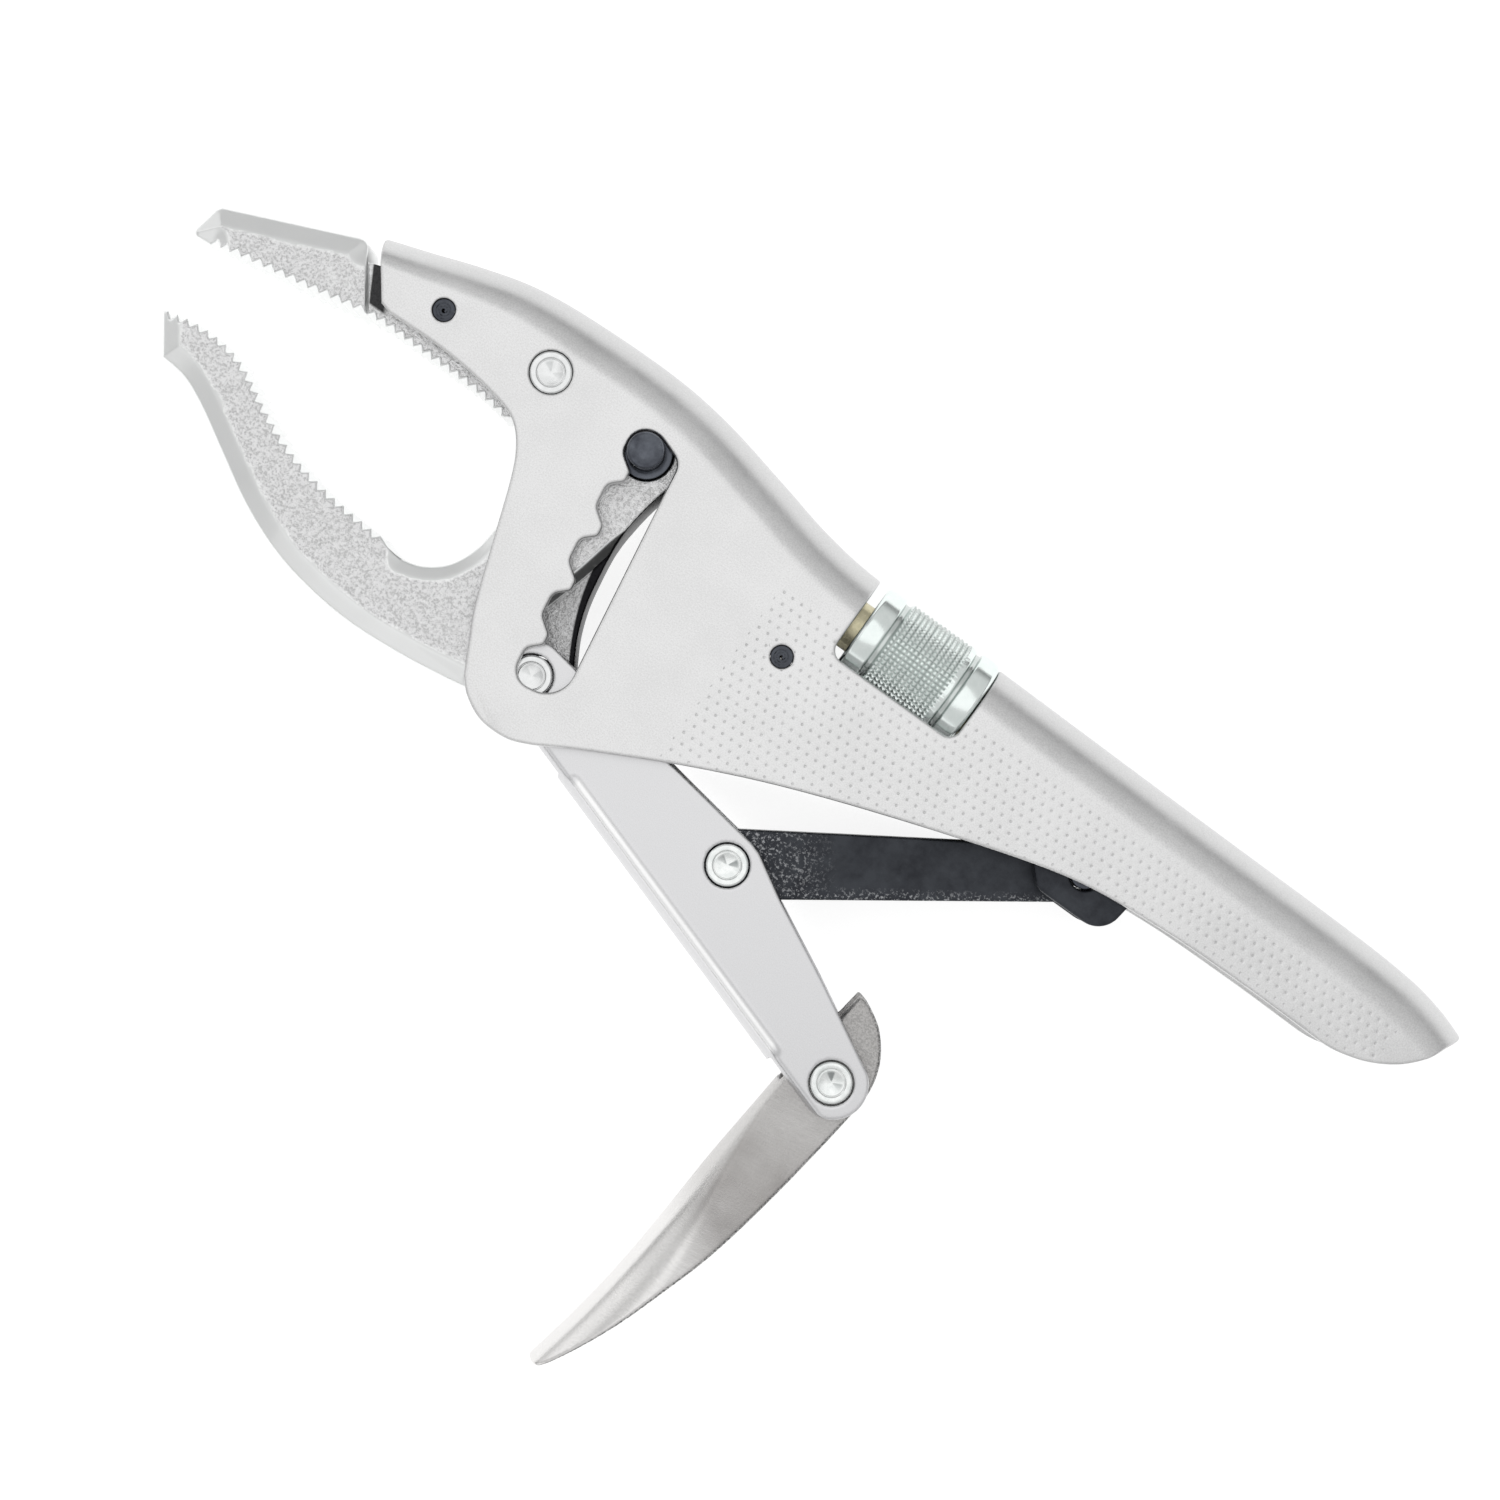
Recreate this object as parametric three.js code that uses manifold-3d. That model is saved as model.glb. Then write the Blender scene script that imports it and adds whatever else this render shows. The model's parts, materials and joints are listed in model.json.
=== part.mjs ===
// Locking pliers with a folded sheet-steel body, a five-position lower jaw and a release lever.
// Millimetres. The tool lies on its side: X runs from the jaws to the handle's end, Y from the
// lever to the spine, and Z is the thickness. The origin is under the middle of its box.
import * as THREE from "three";
import { mergeVertices } from "three/addons/utils/BufferGeometryUtils.js";
import Module from "manifold-3d";

const wasm = await Module();
wasm.setup();

// ---- driving dimensions -------------------------------------------------------------------
const BODY_WIDTH = 20.4;
const MIDDLE = BODY_WIDTH / 2;
const BODY_SHEET = 2.5;
const BODY_HALF = BODY_WIDTH / 2;
const SPINE_DEPTH = 8.5;
const NOSE_SPINE_DEPTH = 5;
const LEVER_HALF = 7.3;
const LEVER_SHEET = 2;
const RELEASE_HALF = 5;
const RELEASE_WIDE_HALF = 7.3;
const RELEASE_SHEET = 1.7;
const JAW_HALF = 7.1;
const JAW_HINGE_HALF = 5;
const LINK_HALF = 2.6;
const YOKE_HALF = 7.4;
const GAP = 0.3;

const JAW_PIVOT = [-64.2, 1.3];
const JAW_LEVER_PIVOT = [-57.4, -45.2];
const LEVER_LINK_PIVOT = [-7, -52.5];
const RELEASE_PIVOT = [32.6, -74.2];
const YOKE_PIVOT = [48.5, -15];
const SCREW_AXIS_Y = -1.8;
const UPPER_JAW_RIVET = [-87.1, 2.9];
const FRONT_COIL_PIN = [-110, 0.7];
const REAR_COIL_PIN = [-21.4, -15];
const SPRING_LUG = [-46.9, -44.4];

const NOTCHES = 5;
const NOTCH_STEP = 11.3;
const SLOT_ANGLE = THREE.MathUtils.degToRad(-80.8);
const LIP_OFFSET = -0.95;
const NOTCH_OFFSET = -3.7;
const SLOT_STRAIGHT_OFFSET = 6.6;

const RIVET_RADIUS = 4;
const COIL_PIN_RADIUS = 2.1;
const JAW_EYE_RADIUS = 7.4;
const PIVOT_SHANK_RADIUS = 3;
const PIVOT_HEAD_RADIUS = 3.5;
const SLEEVE_RADIUS = 4.5;
const WASHER_RADIUS = 4.9;
const WASHER_THICKNESS = 1.6;
const WASHER_SEAT = 5.6;
const LINK_SHANK_RADIUS = 3.2;
const JAW_SHANK_RADIUS = 2.5;
const RELEASE_SHANK_RADIUS = 3.4;
const YOKE_PIN_RADIUS = 2.6;
const YOKE_BUSH_RADIUS = 3.9;
const YOKE_SIDE = 3;
const SCREW_RADIUS = 5;
const SCREW_TAIL_RADIUS = 3.5;
const NUT_RADIUS = 10;
const OPEN_HOLE_RADIUS = 5.7;
const WINDOW = { left: -14.5, right: 13.6, bottom: -9.3, corner: 2.5 };

// Middle of the tool's box in the drawing's own X and Y.
const BOX_MIDDLE = [-16.84, -66.79];

// ---- materials ----------------------------------------------------------------------------
const metal = (color, roughness, metalness = 1) =>
  new THREE.MeshStandardMaterial({ color, roughness, metalness });
const PLATED = metal(0xd9d8d6, 0.42);
const FORGED = metal(0xcfcfcf, 0.5);
const BRIGHT = metal(0xe3e6e6, 0.25);
const NICKEL = metal(0xb3b0ae, 0.35);
const BLACK_OXIDE = metal(0x3c3f45, 0.45, 0.6);
const BUTTON_BLACK = metal(0x40434a, 0.3, 0.5);
const ZINC = metal(0xd5dedd, 0.22);
const YELLOW_ZINC = metal(0xcfc6a2, 0.35);

// ---- outlines -----------------------------------------------------------------------------
const TURN_STEP = 18;

// Points on a circle, from one angle to another, in degrees.
function arc([cx, cy], radius, from, to, step = TURN_STEP) {
  const count = Math.max(1, Math.ceil(Math.abs(to - from) / step));
  return Array.from({ length: count + 1 }, (_, i) => {
    const angle = THREE.MathUtils.degToRad(from + ((to - from) * i) / count);
    return [cx + radius * Math.cos(angle), cy + radius * Math.sin(angle)];
  });
}

// A smooth curve through the points given.
function smooth(points, count) {
  const curve = new THREE.SplineCurve(points.map(([x, y]) => new THREE.Vector2(x, y)));
  return curve.getSpacedPoints(count).map((p) => [p.x, p.y]);
}

// A polygon whose corners [x, y, radius] are rounded; a corner without a radius stays sharp.
function rounded(corners, step = TURN_STEP) {
  return corners.flatMap(([x, y, radius = 0], i) => {
    if (!radius) return [[x, y]];
    const before = corners.at(i - 1);
    const after = corners[(i + 1) % corners.length];
    const here = new THREE.Vector2(x, y);
    const a = new THREE.Vector2(before[0], before[1]).sub(here).normalize();
    const b = new THREE.Vector2(after[0], after[1]).sub(here).normalize();
    const half = Math.acos(a.dot(b)) / 2;
    const toCentre = a.clone().add(b).normalize();
    const centre = here.clone().addScaledVector(toCentre, radius / Math.sin(half));
    const middle = THREE.MathUtils.radToDeg(Math.atan2(-toCentre.y, -toCentre.x));
    const sweep = (90 - THREE.MathUtils.radToDeg(half)) * Math.sign(a.cross(b));
    return arc([centre.x, centre.y], radius, middle + sweep, middle - sweep, step);
  });
}

// A row of V-shaped teeth whose tips follow the curve through the points given.
function teeth(points, count, depth) {
  const tips = new THREE.SplineCurve(points.map(([x, y]) => new THREE.Vector2(x, y)));
  const row = [];
  for (let i = 0; i <= 2 * count; i += 1) {
    const at = tips.getPointAt(i / (2 * count));
    const along = tips.getTangentAt(i / (2 * count));
    const back = i % 2 ? depth : 0;
    row.push([at.x - along.y * back, at.y + along.x * back]);
  }
  return row;
}

// The same points with how far that stretch of edge draws in towards the plate's two faces.
const edge = (points, depth = 0) =>
  points.map(([x, y]) => ({ x, y, depth: typeof depth === "function" ? depth(x, y) : depth }));

// ---- solids -------------------------------------------------------------------------------
function solidOf(geometry) {
  const bare = new THREE.BufferGeometry();
  bare.setAttribute("position", geometry.getAttribute("position"));
  if (geometry.index) bare.setIndex(geometry.index);
  const merged = mergeVertices(bare, 1e-4);
  return new wasm.Manifold(
    new wasm.Mesh({
      numProp: 3,
      vertProperties: new Float32Array(merged.getAttribute("position").array),
      triVerts: new Uint32Array(merged.index.array),
    }),
  );
}

const cut = (solid, ...tools) => tools.reduce((left, tool) => left.subtract(tool), solid);
const join = (solid, ...others) => others.reduce((whole, other) => whole.add(other), solid);

// A straight prism of an outline, between two heights.
const SAME_POINT = 0.01;

function prism(points, bottom = -5, top = BODY_WIDTH + 5) {
  const apart = points.filter(([x, y], i) => {
    const before = points.at(i - 1);
    return Math.hypot(x - before[0], y - before[1]) > SAME_POINT;
  });
  const shape = new THREE.Shape(apart.map(([x, y]) => new THREE.Vector2(x, y)));
  const depth = top - bottom;
  const made = new THREE.ExtrudeGeometry(shape, { depth, bevelEnabled: false });
  return solidOf(made.translate(0, 0, bottom));
}

function disc([x, y], radius, bottom, top, step = 15) {
  return prism(arc([x, y], radius, 0, 360 - step, step), bottom, top);
}

// A prism of an outline drawn in X and Z, through all of Y.
function sidePrism(points) {
  const reach = 200;
  const shape = new THREE.Shape(points.map(([x, z]) => new THREE.Vector2(x, z)));
  const made = new THREE.ExtrudeGeometry(shape, { depth: 2 * reach, bevelEnabled: false });
  return solidOf(made.rotateX(Math.PI / 2).translate(0, reach, 0));
}

// A prism of an outline drawn in Y and Z, through all of X.
function endPrism(points) {
  const reach = 200;
  const shape = new THREE.Shape(points.map(([y, z]) => new THREE.Vector2(y, z)));
  const made = new THREE.ExtrudeGeometry(shape, { depth: 2 * reach, bevelEnabled: false });
  return solidOf(made.rotateX(Math.PI / 2).rotateZ(Math.PI / 2).translate(-reach, 0, 0));
}

// How far an edge has drawn in at level t, from -1 at one face to 1 at the other.
const ROUND = {
  levels: [-1, -0.97, -0.87, -0.64, -0.34, 0, 0.34, 0.64, 0.87, 0.97, 1],
  inset: (t) => 1 - Math.sqrt(Math.max(0, 1 - t * t)),
};
const BEVEL_START = 0.62;
const BEVEL = {
  levels: [-1, -BEVEL_START, BEVEL_START, 1],
  inset: (t) => Math.max(0, (Math.abs(t) - BEVEL_START) / (1 - BEVEL_START)),
};

// A plate centred on the tool's middle plane. Each edge point draws in by its own depth
// towards the two faces, so an edge can be square, bevelled or half round.
function plate(outline, half, section = ROUND) {
  const area = THREE.ShapeUtils.area(outline);
  const ring = area < 0 ? [...outline].reverse() : outline;
  const count = ring.length;
  const inward = ring.map((point, i) => {
    const before = ring.at(i - 1);
    const after = ring[(i + 1) % count];
    return point.inward ?? new THREE.Vector2(before.y - after.y, after.x - before.x).normalize();
  });
  const levels = section.levels.map((t) =>
    ring.map((point, i) => {
      const inset = point.depth * section.inset(t);
      const x = point.x + inward[i].x * inset;
      const y = point.y + inward[i].y * inset;
      return [x, y, MIDDLE + t * half];
    }),
  );
  const index = [];
  for (let k = 0; k + 1 < levels.length; k += 1) {
    for (let i = 0; i < count; i += 1) {
      const a = k * count + i;
      const b = k * count + ((i + 1) % count);
      index.push(a, b, b + count, a, b + count, a + count);
    }
  }
  const top = (levels.length - 1) * count;
  const caps = [levels[0], levels.at(-1)].map((level) =>
    THREE.ShapeUtils.triangulateShape(level.map(([x, y]) => new THREE.Vector2(x, y)), []),
  );
  caps[0].forEach(([a, b, c]) => index.push(c, b, a));
  caps[1].forEach(([a, b, c]) => index.push(top + a, top + b, top + c));
  const made = new THREE.BufferGeometry();
  made.setAttribute("position", new THREE.Float32BufferAttribute(levels.flat(2), 3));
  made.setIndex(index);
  return solidOf(made);
}

// A folded channel: the spine's edge points, open towards a direction. The two sides can be
// brought closer together by trimming each solid that the channel is made from.
function channel(spine, half, sheet, open, trim = (solid) => solid) {
  const FAR = 120;
  const PAST = 12;
  const towards = new THREE.Vector2(...open);
  const closing = (points, by) =>
    [points.at(-1), points[0]].map(({ x, y }) => ({
      x: x + open[0] * by,
      y: y + open[1] * by,
      depth: 0,
    }));
  const along = spine.map((_, i) => {
    const before = spine[Math.max(0, i - 1)];
    const after = spine[Math.min(spine.length - 1, i + 1)];
    return new THREE.Vector2(after.x - before.x, after.y - before.y).normalize();
  });
  const outer = spine.map((point, i) => {
    const normal = new THREE.Vector2(-along[i].y, along[i].x);
    return { ...point, inward: normal.dot(towards) < 0 ? normal.negate() : normal };
  });
  const inner = outer.map((point, i) => {
    const past = i === 0 ? -PAST : i === spine.length - 1 ? PAST : 0;
    return {
      x: point.x + point.inward.x * sheet + along[i].x * past,
      y: point.y + point.inward.y * sheet + along[i].y * past,
      depth: Math.max(0, point.depth - 0.8 * sheet),
      inward: point.inward,
    };
  });
  return cut(
    trim(plate([...outer, ...closing(outer, FAR)], half), 0),
    trim(plate([...inner, ...closing(inner, FAR + PAST)], half - sheet), sheet),
  );
}

const parts = new THREE.Group();

function add(name, solid, material) {
  const made = solid.getMesh();
  const geometry = new THREE.BufferGeometry();
  geometry.setAttribute("position", new THREE.BufferAttribute(made.vertProperties, 3));
  geometry.setIndex(new THREE.BufferAttribute(made.triVerts, 1));
  geometry.computeVertexNormals();
  const mesh = new THREE.Mesh(geometry, material);
  mesh.name = name;
  parts.add(mesh);
}

// ---- body ---------------------------------------------------------------------------------
const alongSlot = [Math.cos(SLOT_ANGLE), Math.sin(SLOT_ANGLE)];
const acrossSlot = [-alongSlot[1], alongSlot[0]];

// A point of the slot's own frame: s along it from the first notch, w towards the handle.
const inSlot = ([s, w, radius]) => [
  JAW_PIVOT[0] + s * alongSlot[0] + w * acrossSlot[0],
  JAW_PIVOT[1] + s * alongSlot[1] + w * acrossSlot[1],
  radius,
];

function slotOutline() {
  const end = (NOTCHES - 1) * NOTCH_STEP;
  const corners = [
    [-3.75, NOTCH_OFFSET, 3.5],
    [-3.75, 0.9, 3],
    [-1, SLOT_STRAIGHT_OFFSET, 3.4],
    [end + 3.8, SLOT_STRAIGHT_OFFSET, 5.6],
    [end + 3.8, NOTCH_OFFSET, 3.5],
  ];
  for (let i = NOTCHES - 1; i > 0; i -= 1) {
    const lower = i * NOTCH_STEP;
    const upper = (i - 1) * NOTCH_STEP;
    corners.push([lower - 2.6, NOTCH_OFFSET, 2]);
    corners.push([lower - 4.5, LIP_OFFSET, 1.1]);
    corners.push([upper + 4.6, LIP_OFFSET, 1.4]);
    corners.push([upper + 1.9, NOTCH_OFFSET, 2.2]);
  }
  return rounded(corners.map(inSlot), 24);
}

function bodyFrame() {
  const spineLine = [
    [-137, 2.5], [-129, 5.8], [-120, 8.9], [-110, 12.4], [-100, 15.1], [-88, 16.4], [-70, 16.8],
    [-56, 15.5], [-40, 12.1], [-28, 9.4], [-14.7, 7.9], [13.6, 7.4], [60, 6.6], [95, 6.1],
    [110, 5.4], [118, 4.1], [124.4, 2.1], [131, -0.6],
  ];
  const depthAt = (x) =>
    THREE.MathUtils.mapLinear(THREE.MathUtils.clamp(x, -130, -85), -130, -85,
      NOSE_SPINE_DEPTH, SPINE_DEPTH);
  const spine = edge(smooth(spineLine, 44), depthAt);
  const trough = channel(spine, BODY_HALF, BODY_SHEET, [0, -1]);

  const throat = smooth([
    [-67.5, -52.2], [-70.4, -46.5], [-73.3, -40.7], [-77.5, -29.2], [-81.6, -17.7],
    [-84.3, -12.2], [-87.6, -8.6], [-92, -6.9], [-100, -5.7], [-108, -5.3], [-118, -5.6],
  ], 22);
  const lowerEdge = smooth([
    [101.8, -14.7], [85, -14.5], [66, -14.9], [47, -17], [27, -22.6], [0, -31.8], [-20, -40],
    [-40, -50], [-49.5, -55.4],
  ], 16);
  const tail = smooth([[124.9, 1.6], [122, -1.9], [119.6, -5.8], [116, -9.6], [111, -12.6],
    [105.5, -14.3], [101.8, -14.7]], 9);
  const heel = smooth([[-49.5, -55.4], [-54.1, -57.2], [-60, -57.2], [-64.7, -55],
    [-67.5, -52.2]], 8);
  const silhouette = [
    [-128.9, 6.6], [-131, 30], [126.5, 30], ...tail, ...lowerEdge.slice(1),
    ...heel.slice(1), ...throat.slice(1), [-120.3, -5],
  ];
  const window = rounded([
    [WINDOW.left, 40], [WINDOW.left, WINDOW.bottom, WINDOW.corner],
    [WINDOW.right, WINDOW.bottom, WINDOW.corner], [WINDOW.right, 40],
  ]);
  return cut(
    trough.intersect(prism(silhouette)),
    prism(window),
    prism(slotOutline()),
    disc(UPPER_JAW_RIVET, RIVET_RADIUS + GAP, -5, 30),
    disc(FRONT_COIL_PIN, COIL_PIN_RADIUS + GAP, -5, 30),
    disc(REAR_COIL_PIN, COIL_PIN_RADIUS + GAP, -5, 30),
  );
}

// ---- fixed upper jaw ----------------------------------------------------------------------
function upperJaw() {
  const noseBack = edge(rounded([
    [-121.6, -8.4], [-130, 3.6, 2.2], [-157.4, -7.6, 2], [-158.9, -15, 1.2], [-154.4, -14.6],
  ]), (x, y) => (y > -11 && x < -129.2 ? 4.2 : 0));
  const noseTeeth = teeth([[-154.4, -14.6], [-146, -13], [-134, -10.9], [-121.8, -8.5]], 14, 1.3);
  const noseHalf = 9.9;
  const nose = plate([...noseBack, ...edge(noseTeeth.slice(1, -1))], noseHalf, BEVEL);
  const taper = sidePrism([
    [-165, MIDDLE - 4.6], [-118, MIDDLE - noseHalf], [-118, MIDDLE + noseHalf],
    [-165, MIDDLE + 4.6],
  ]);
  const shoulder = prism([[-130.6, 8], [-121, -9.3], [-100, -20], [-100, 20]]);
  const tongue = prism([
    ...teeth([[-126, -8.9], [-119.5, -8.1], [-108, -8.1], [-97, -8.2], [-90.4, -9]], 17, 1.25),
    [-87, -7.2], [-83.2, -3], [-82.6, 5.5], [-92, 6.9], [-110, 4.2], [-124.4, 1], [-131, -1.4],
    [-130, -6],
  ], MIDDLE - JAW_HALF, MIDDLE + JAW_HALF);
  return cut(
    join(cut(nose.intersect(taper), shoulder), tongue),
    disc(UPPER_JAW_RIVET, RIVET_RADIUS + GAP, -5, 30),
    disc(FRONT_COIL_PIN, COIL_PIN_RADIUS + GAP, -5, 30),
  );
}

// ---- movable lower jaw --------------------------------------------------------------------
function lowerJaw() {
  const grip = teeth([
    [-153.6, -29.2], [-147, -27.9], [-140, -28], [-134, -29.8], [-126, -34], [-118, -37.2],
    [-108, -39.3], [-95.6, -40.3],
  ], 27, -1.3);
  const throat = smooth([
    [-93.4, -41.2], [-90, -41.4], [-86, -40.1], [-82.2, -36.8], [-79.9, -31.5], [-79.2, -25.4],
    [-78, -16], [-75.2, -7], [-71.9, -0.5],
  ], 14);
  const eye = arc(JAW_PIVOT, JAW_EYE_RADIUS, 175, -14, 20);
  const rear = smooth([
    [-56.9, -1.4], [-58.1, -6.5], [-58.8, -12], [-58.8, -17], [-58.1, -22.5], [-56.9, -28.5],
    [-54.9, -34], [-52.2, -38.9],
  ], 10);
  const boss = arc(JAW_LEVER_PIVOT, 8.3, 28, -98, 18);
  const back = smooth([
    [-66, -54.3], [-72, -55.3], [-80, -56.4], [-90.5, -57.1], [-100, -56.5], [-110, -54.5],
    [-120, -50.6], [-130, -45], [-138, -40.4], [-144, -37.8], [-149.6, -37.1],
  ], 18);
  const outline = [
    ...edge(grip),
    ...edge(throat, 1.6),
    ...edge(eye),
    ...edge(rear),
    ...edge(boss),
    ...edge(back, (x) => (x > -70 ? 1 : 4)),
    ...edge([[-154.8, -29.8]]),
  ];
  const blank = plate(outline, JAW_HALF, BEVEL);
  const taper = sidePrism([
    [-165, MIDDLE - 4.6], [-112, MIDDLE - JAW_HALF - 1], [-30, MIDDLE - JAW_HALF - 1],
    [-30, MIDDLE + JAW_HALF + 1], [-112, MIDDLE + JAW_HALF + 1], [-165, MIDDLE + 4.6],
  ]);
  const hingeSide = smooth([[-56, -7], [-59.6, -14], [-62, -24], [-66, -38], [-68, -45],
    [-66.9, -51], [-65, -55.5], [-63.6, -62]], 14);
  const recess = (bottom, top) => prism([...hingeSide, [-30, -62], [-30, -7]], bottom, top);
  const lug = disc(SPRING_LUG, 2.4, MIDDLE - 1.5, MIDDLE + 1.5);
  const arm = prism([[-54, -41], [-46.6, -42.2], [-46.6, -46.6], [-54, -48]],
    MIDDLE - 1.5, MIDDLE + 1.5);
  return cut(
    join(
      cut(
        blank.intersect(taper),
        recess(-5, MIDDLE - JAW_HINGE_HALF),
        recess(MIDDLE + JAW_HINGE_HALF, 30),
      ),
      lug,
      arm,
    ),
    disc(SPRING_LUG, 1.1, -5, 30, 30),
    disc(JAW_LEVER_PIVOT, OPEN_HOLE_RADIUS, -5, 30),
    disc(JAW_PIVOT, SLEEVE_RADIUS + GAP, -5, 30),
    disc(JAW_PIVOT, WASHER_RADIUS + GAP, -5, MIDDLE - WASHER_SEAT + 0.2),
    disc(JAW_PIVOT, WASHER_RADIUS + GAP, MIDDLE + WASHER_SEAT - 0.2, 30),
  );
}

// ---- pivot of the lower jaw ---------------------------------------------------------------
// The pin's ends are flat on the side of the slot's lips, so it can slide past all of them.
function pivotPin() {
  const flat = LIP_OFFSET + 0.45;
  const width = PIVOT_HEAD_RADIUS - 0.15;
  const neck = arc([0, 0], width, 98, -98, 14).map(([w, s]) => [-s, Math.max(w, flat)]);
  const neckOutline = neck.map(inSlot);
  const dome = [[0, 2.2], [1.3, 2.1], [2.4, 1.75], [3.1, 1.2], [PIVOT_HEAD_RADIUS, 0.6],
    [PIVOT_HEAD_RADIUS, 0], [0, 0]];
  const profile = dome.reverse().map(([r, z]) => new THREE.Vector2(r, z));
  const head = new THREE.LatheGeometry(profile, 28).rotateX(Math.PI / 2);
  head.translate(JAW_PIVOT[0], JAW_PIVOT[1], BODY_WIDTH + 0.2);
  const INSIDE = BODY_SHEET + 0.4;
  return join(
    disc(JAW_PIVOT, PIVOT_SHANK_RADIUS, INSIDE, BODY_WIDTH - INSIDE, 20),
    prism(neckOutline, 0.2, INSIDE + 0.1),
    prism(neckOutline, BODY_WIDTH - INSIDE - 0.1, BODY_WIDTH + 0.3),
    solidOf(head),
  );
}

const ring = (centre, outer, inner, bottom, top, step = 15) =>
  cut(disc(centre, outer, bottom, top, step), disc(centre, inner, bottom - 1, top + 1, step));

// ---- toggle: lever, link, yoke ------------------------------------------------------------
function lever() {
  const spineFrom = [-70, -49.3];
  const spineTo = [48, -87];
  const spine = edge(smooth([spineFrom, spineTo], 2), 2.6);
  const trough = channel(spine, LEVER_HALF, LEVER_SHEET, [0.304, 0.9525]);
  const silhouette = [
    ...arc(JAW_LEVER_PIVOT, 6.8, 82, 250),
    [-58.9, -53.6], [-49.2, -56], [-42.9, -57.5], [-42.7, -60], [20.4, -81], [20.9, -77.2],
    [26.5, -79.2],
    ...arc([33, -74.2], 6.7, -98, 52),
    [20, -59.6], [4.7, -51.9], [-3.4, -47.2], [-5.6, -46.5], [-9.75, -45.9],
  ];
  const openNose = prism([[-75, -35], [-75, -70], [-42.8, -70], [-42.8, -35]],
    MIDDLE - LEVER_HALF + LEVER_SHEET, MIDDLE + LEVER_HALF - LEVER_SHEET);
  const openTail = prism([[20.7, -50], [20.7, -90], [60, -90], [60, -50]],
    MIDDLE - LEVER_HALF + LEVER_SHEET, MIDDLE + LEVER_HALF - LEVER_SHEET);
  const holes = [JAW_LEVER_PIVOT, LEVER_LINK_PIVOT, RELEASE_PIVOT].map((centre) =>
    disc(centre, RIVET_RADIUS + GAP, -5, 30, 20));
  return cut(trough.intersect(prism(silhouette)), openNose, openTail, ...holes);
}

// A rivet through the lever's two sides, with a thinner shank between them.
function leverRivet(centre, shank) {
  const face = LEVER_HALF;
  const inside = LEVER_HALF - LEVER_SHEET;
  return join(
    disc(centre, RIVET_RADIUS, MIDDLE - face, MIDDLE - inside, 20),
    disc(centre, shank, MIDDLE - inside - 0.1, MIDDLE + inside + 0.1, 20),
    disc(centre, RIVET_RADIUS, MIDDLE + inside, MIDDLE + face, 20),
  );
}

function toggleLink() {
  const along = Math.atan2(YOKE_PIVOT[1] - LEVER_LINK_PIVOT[1], YOKE_PIVOT[0] - LEVER_LINK_PIVOT[0]);
  const heading = THREE.MathUtils.radToDeg(along);
  const outline = [
    ...arc(LEVER_LINK_PIVOT, 6.7, heading + 92, heading + 268, 20),
    ...arc(YOKE_PIVOT, 5.3, heading - 88, heading + 88, 20),
  ];
  return cut(
    prism(outline, MIDDLE - LINK_HALF, MIDDLE + LINK_HALF),
    disc(LEVER_LINK_PIVOT, LINK_SHANK_RADIUS + GAP, -5, 30, 20),
    disc(YOKE_PIVOT, YOKE_BUSH_RADIUS + GAP, -5, 30, 20),
  );
}

// A block that fits under the body's spine: its top edge is domed across the thickness.
function domedBlock(side, dome) {
  const down = new THREE.Vector2(0, -1);
  const points = side.map(([x, y]) => ({ x, y, depth: y > 0 ? dome : 0, inward: down }));
  return plate(points, YOKE_HALF);
}

function screwYoke() {
  const side = rounded([
    [41.2, 2.6], [39.5, -19], [42.6, -22.2, 3], [57.6, -22.2, 5], [58.7, -14], [58.7, 2.6],
  ]);
  const pocket = prism([[30, -9], [70, -9], [70, -40], [30, -40]],
    MIDDLE - YOKE_HALF + YOKE_SIDE, MIDDLE + YOKE_HALF - YOKE_SIDE);
  return cut(
    domedBlock(side, 4.6),
    pocket,
    disc(YOKE_PIVOT, YOKE_PIN_RADIUS + GAP, -5, 30, 20),
    rodAlongX(SCREW_TAIL_RADIUS + GAP, 30, 80, 24),
  );
}

// A lathe profile of [x, radius] points, from low X to high X, turned about the screw's axis.
function turned(profile, segments) {
  const points = profile.map(([x, radius]) => new THREE.Vector2(radius, x));
  const made = new THREE.LatheGeometry(points, segments).rotateZ(-Math.PI / 2);
  return solidOf(made.translate(0, SCREW_AXIS_Y, MIDDLE));
}

function rodAlongX(radius, from, to, segments) {
  return turned([[from, 0], [from, radius], [to, radius], [to, 0]], segments);
}

function adjustingScrew() {
  const tail = SCREW_TAIL_RADIUS;
  return turned([
    [-34, 0], [-34, SCREW_RADIUS - 0.8], [-33.2, SCREW_RADIUS], [37.2, SCREW_RADIUS],
    [38, SCREW_RADIUS - 0.8], [38, tail], [55.9, tail], [56.5, tail - 0.6], [56.5, 0],
  ], 28);
}

function adjustingNut() {
  const R = NUT_RADIUS;
  const bore = SCREW_RADIUS + GAP;
  return turned([
    [-12.5, bore], [-12.5, R - 0.7], [-11.8, R], [-8.2, R], [-8, R - 0.9], [-7.2, R - 0.9],
    [-6.7, R], [6.8, R], [7.8, R - 0.1], [8.2, R - 0.9], [9, R - 0.9], [9.2, R], [12.7, R],
    [13.4, R - 0.7], [13.4, bore], [-12.5, bore],
  ], 40);
}

function screwGuide() {
  const side = [[-31, -9.6], [-17.5, -9.6], [-17.5, 4.1], [-31, 5]];
  return cut(domedBlock(side, 4.8), rodAlongX(SCREW_RADIUS + GAP, -50, 0, 28));
}

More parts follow.
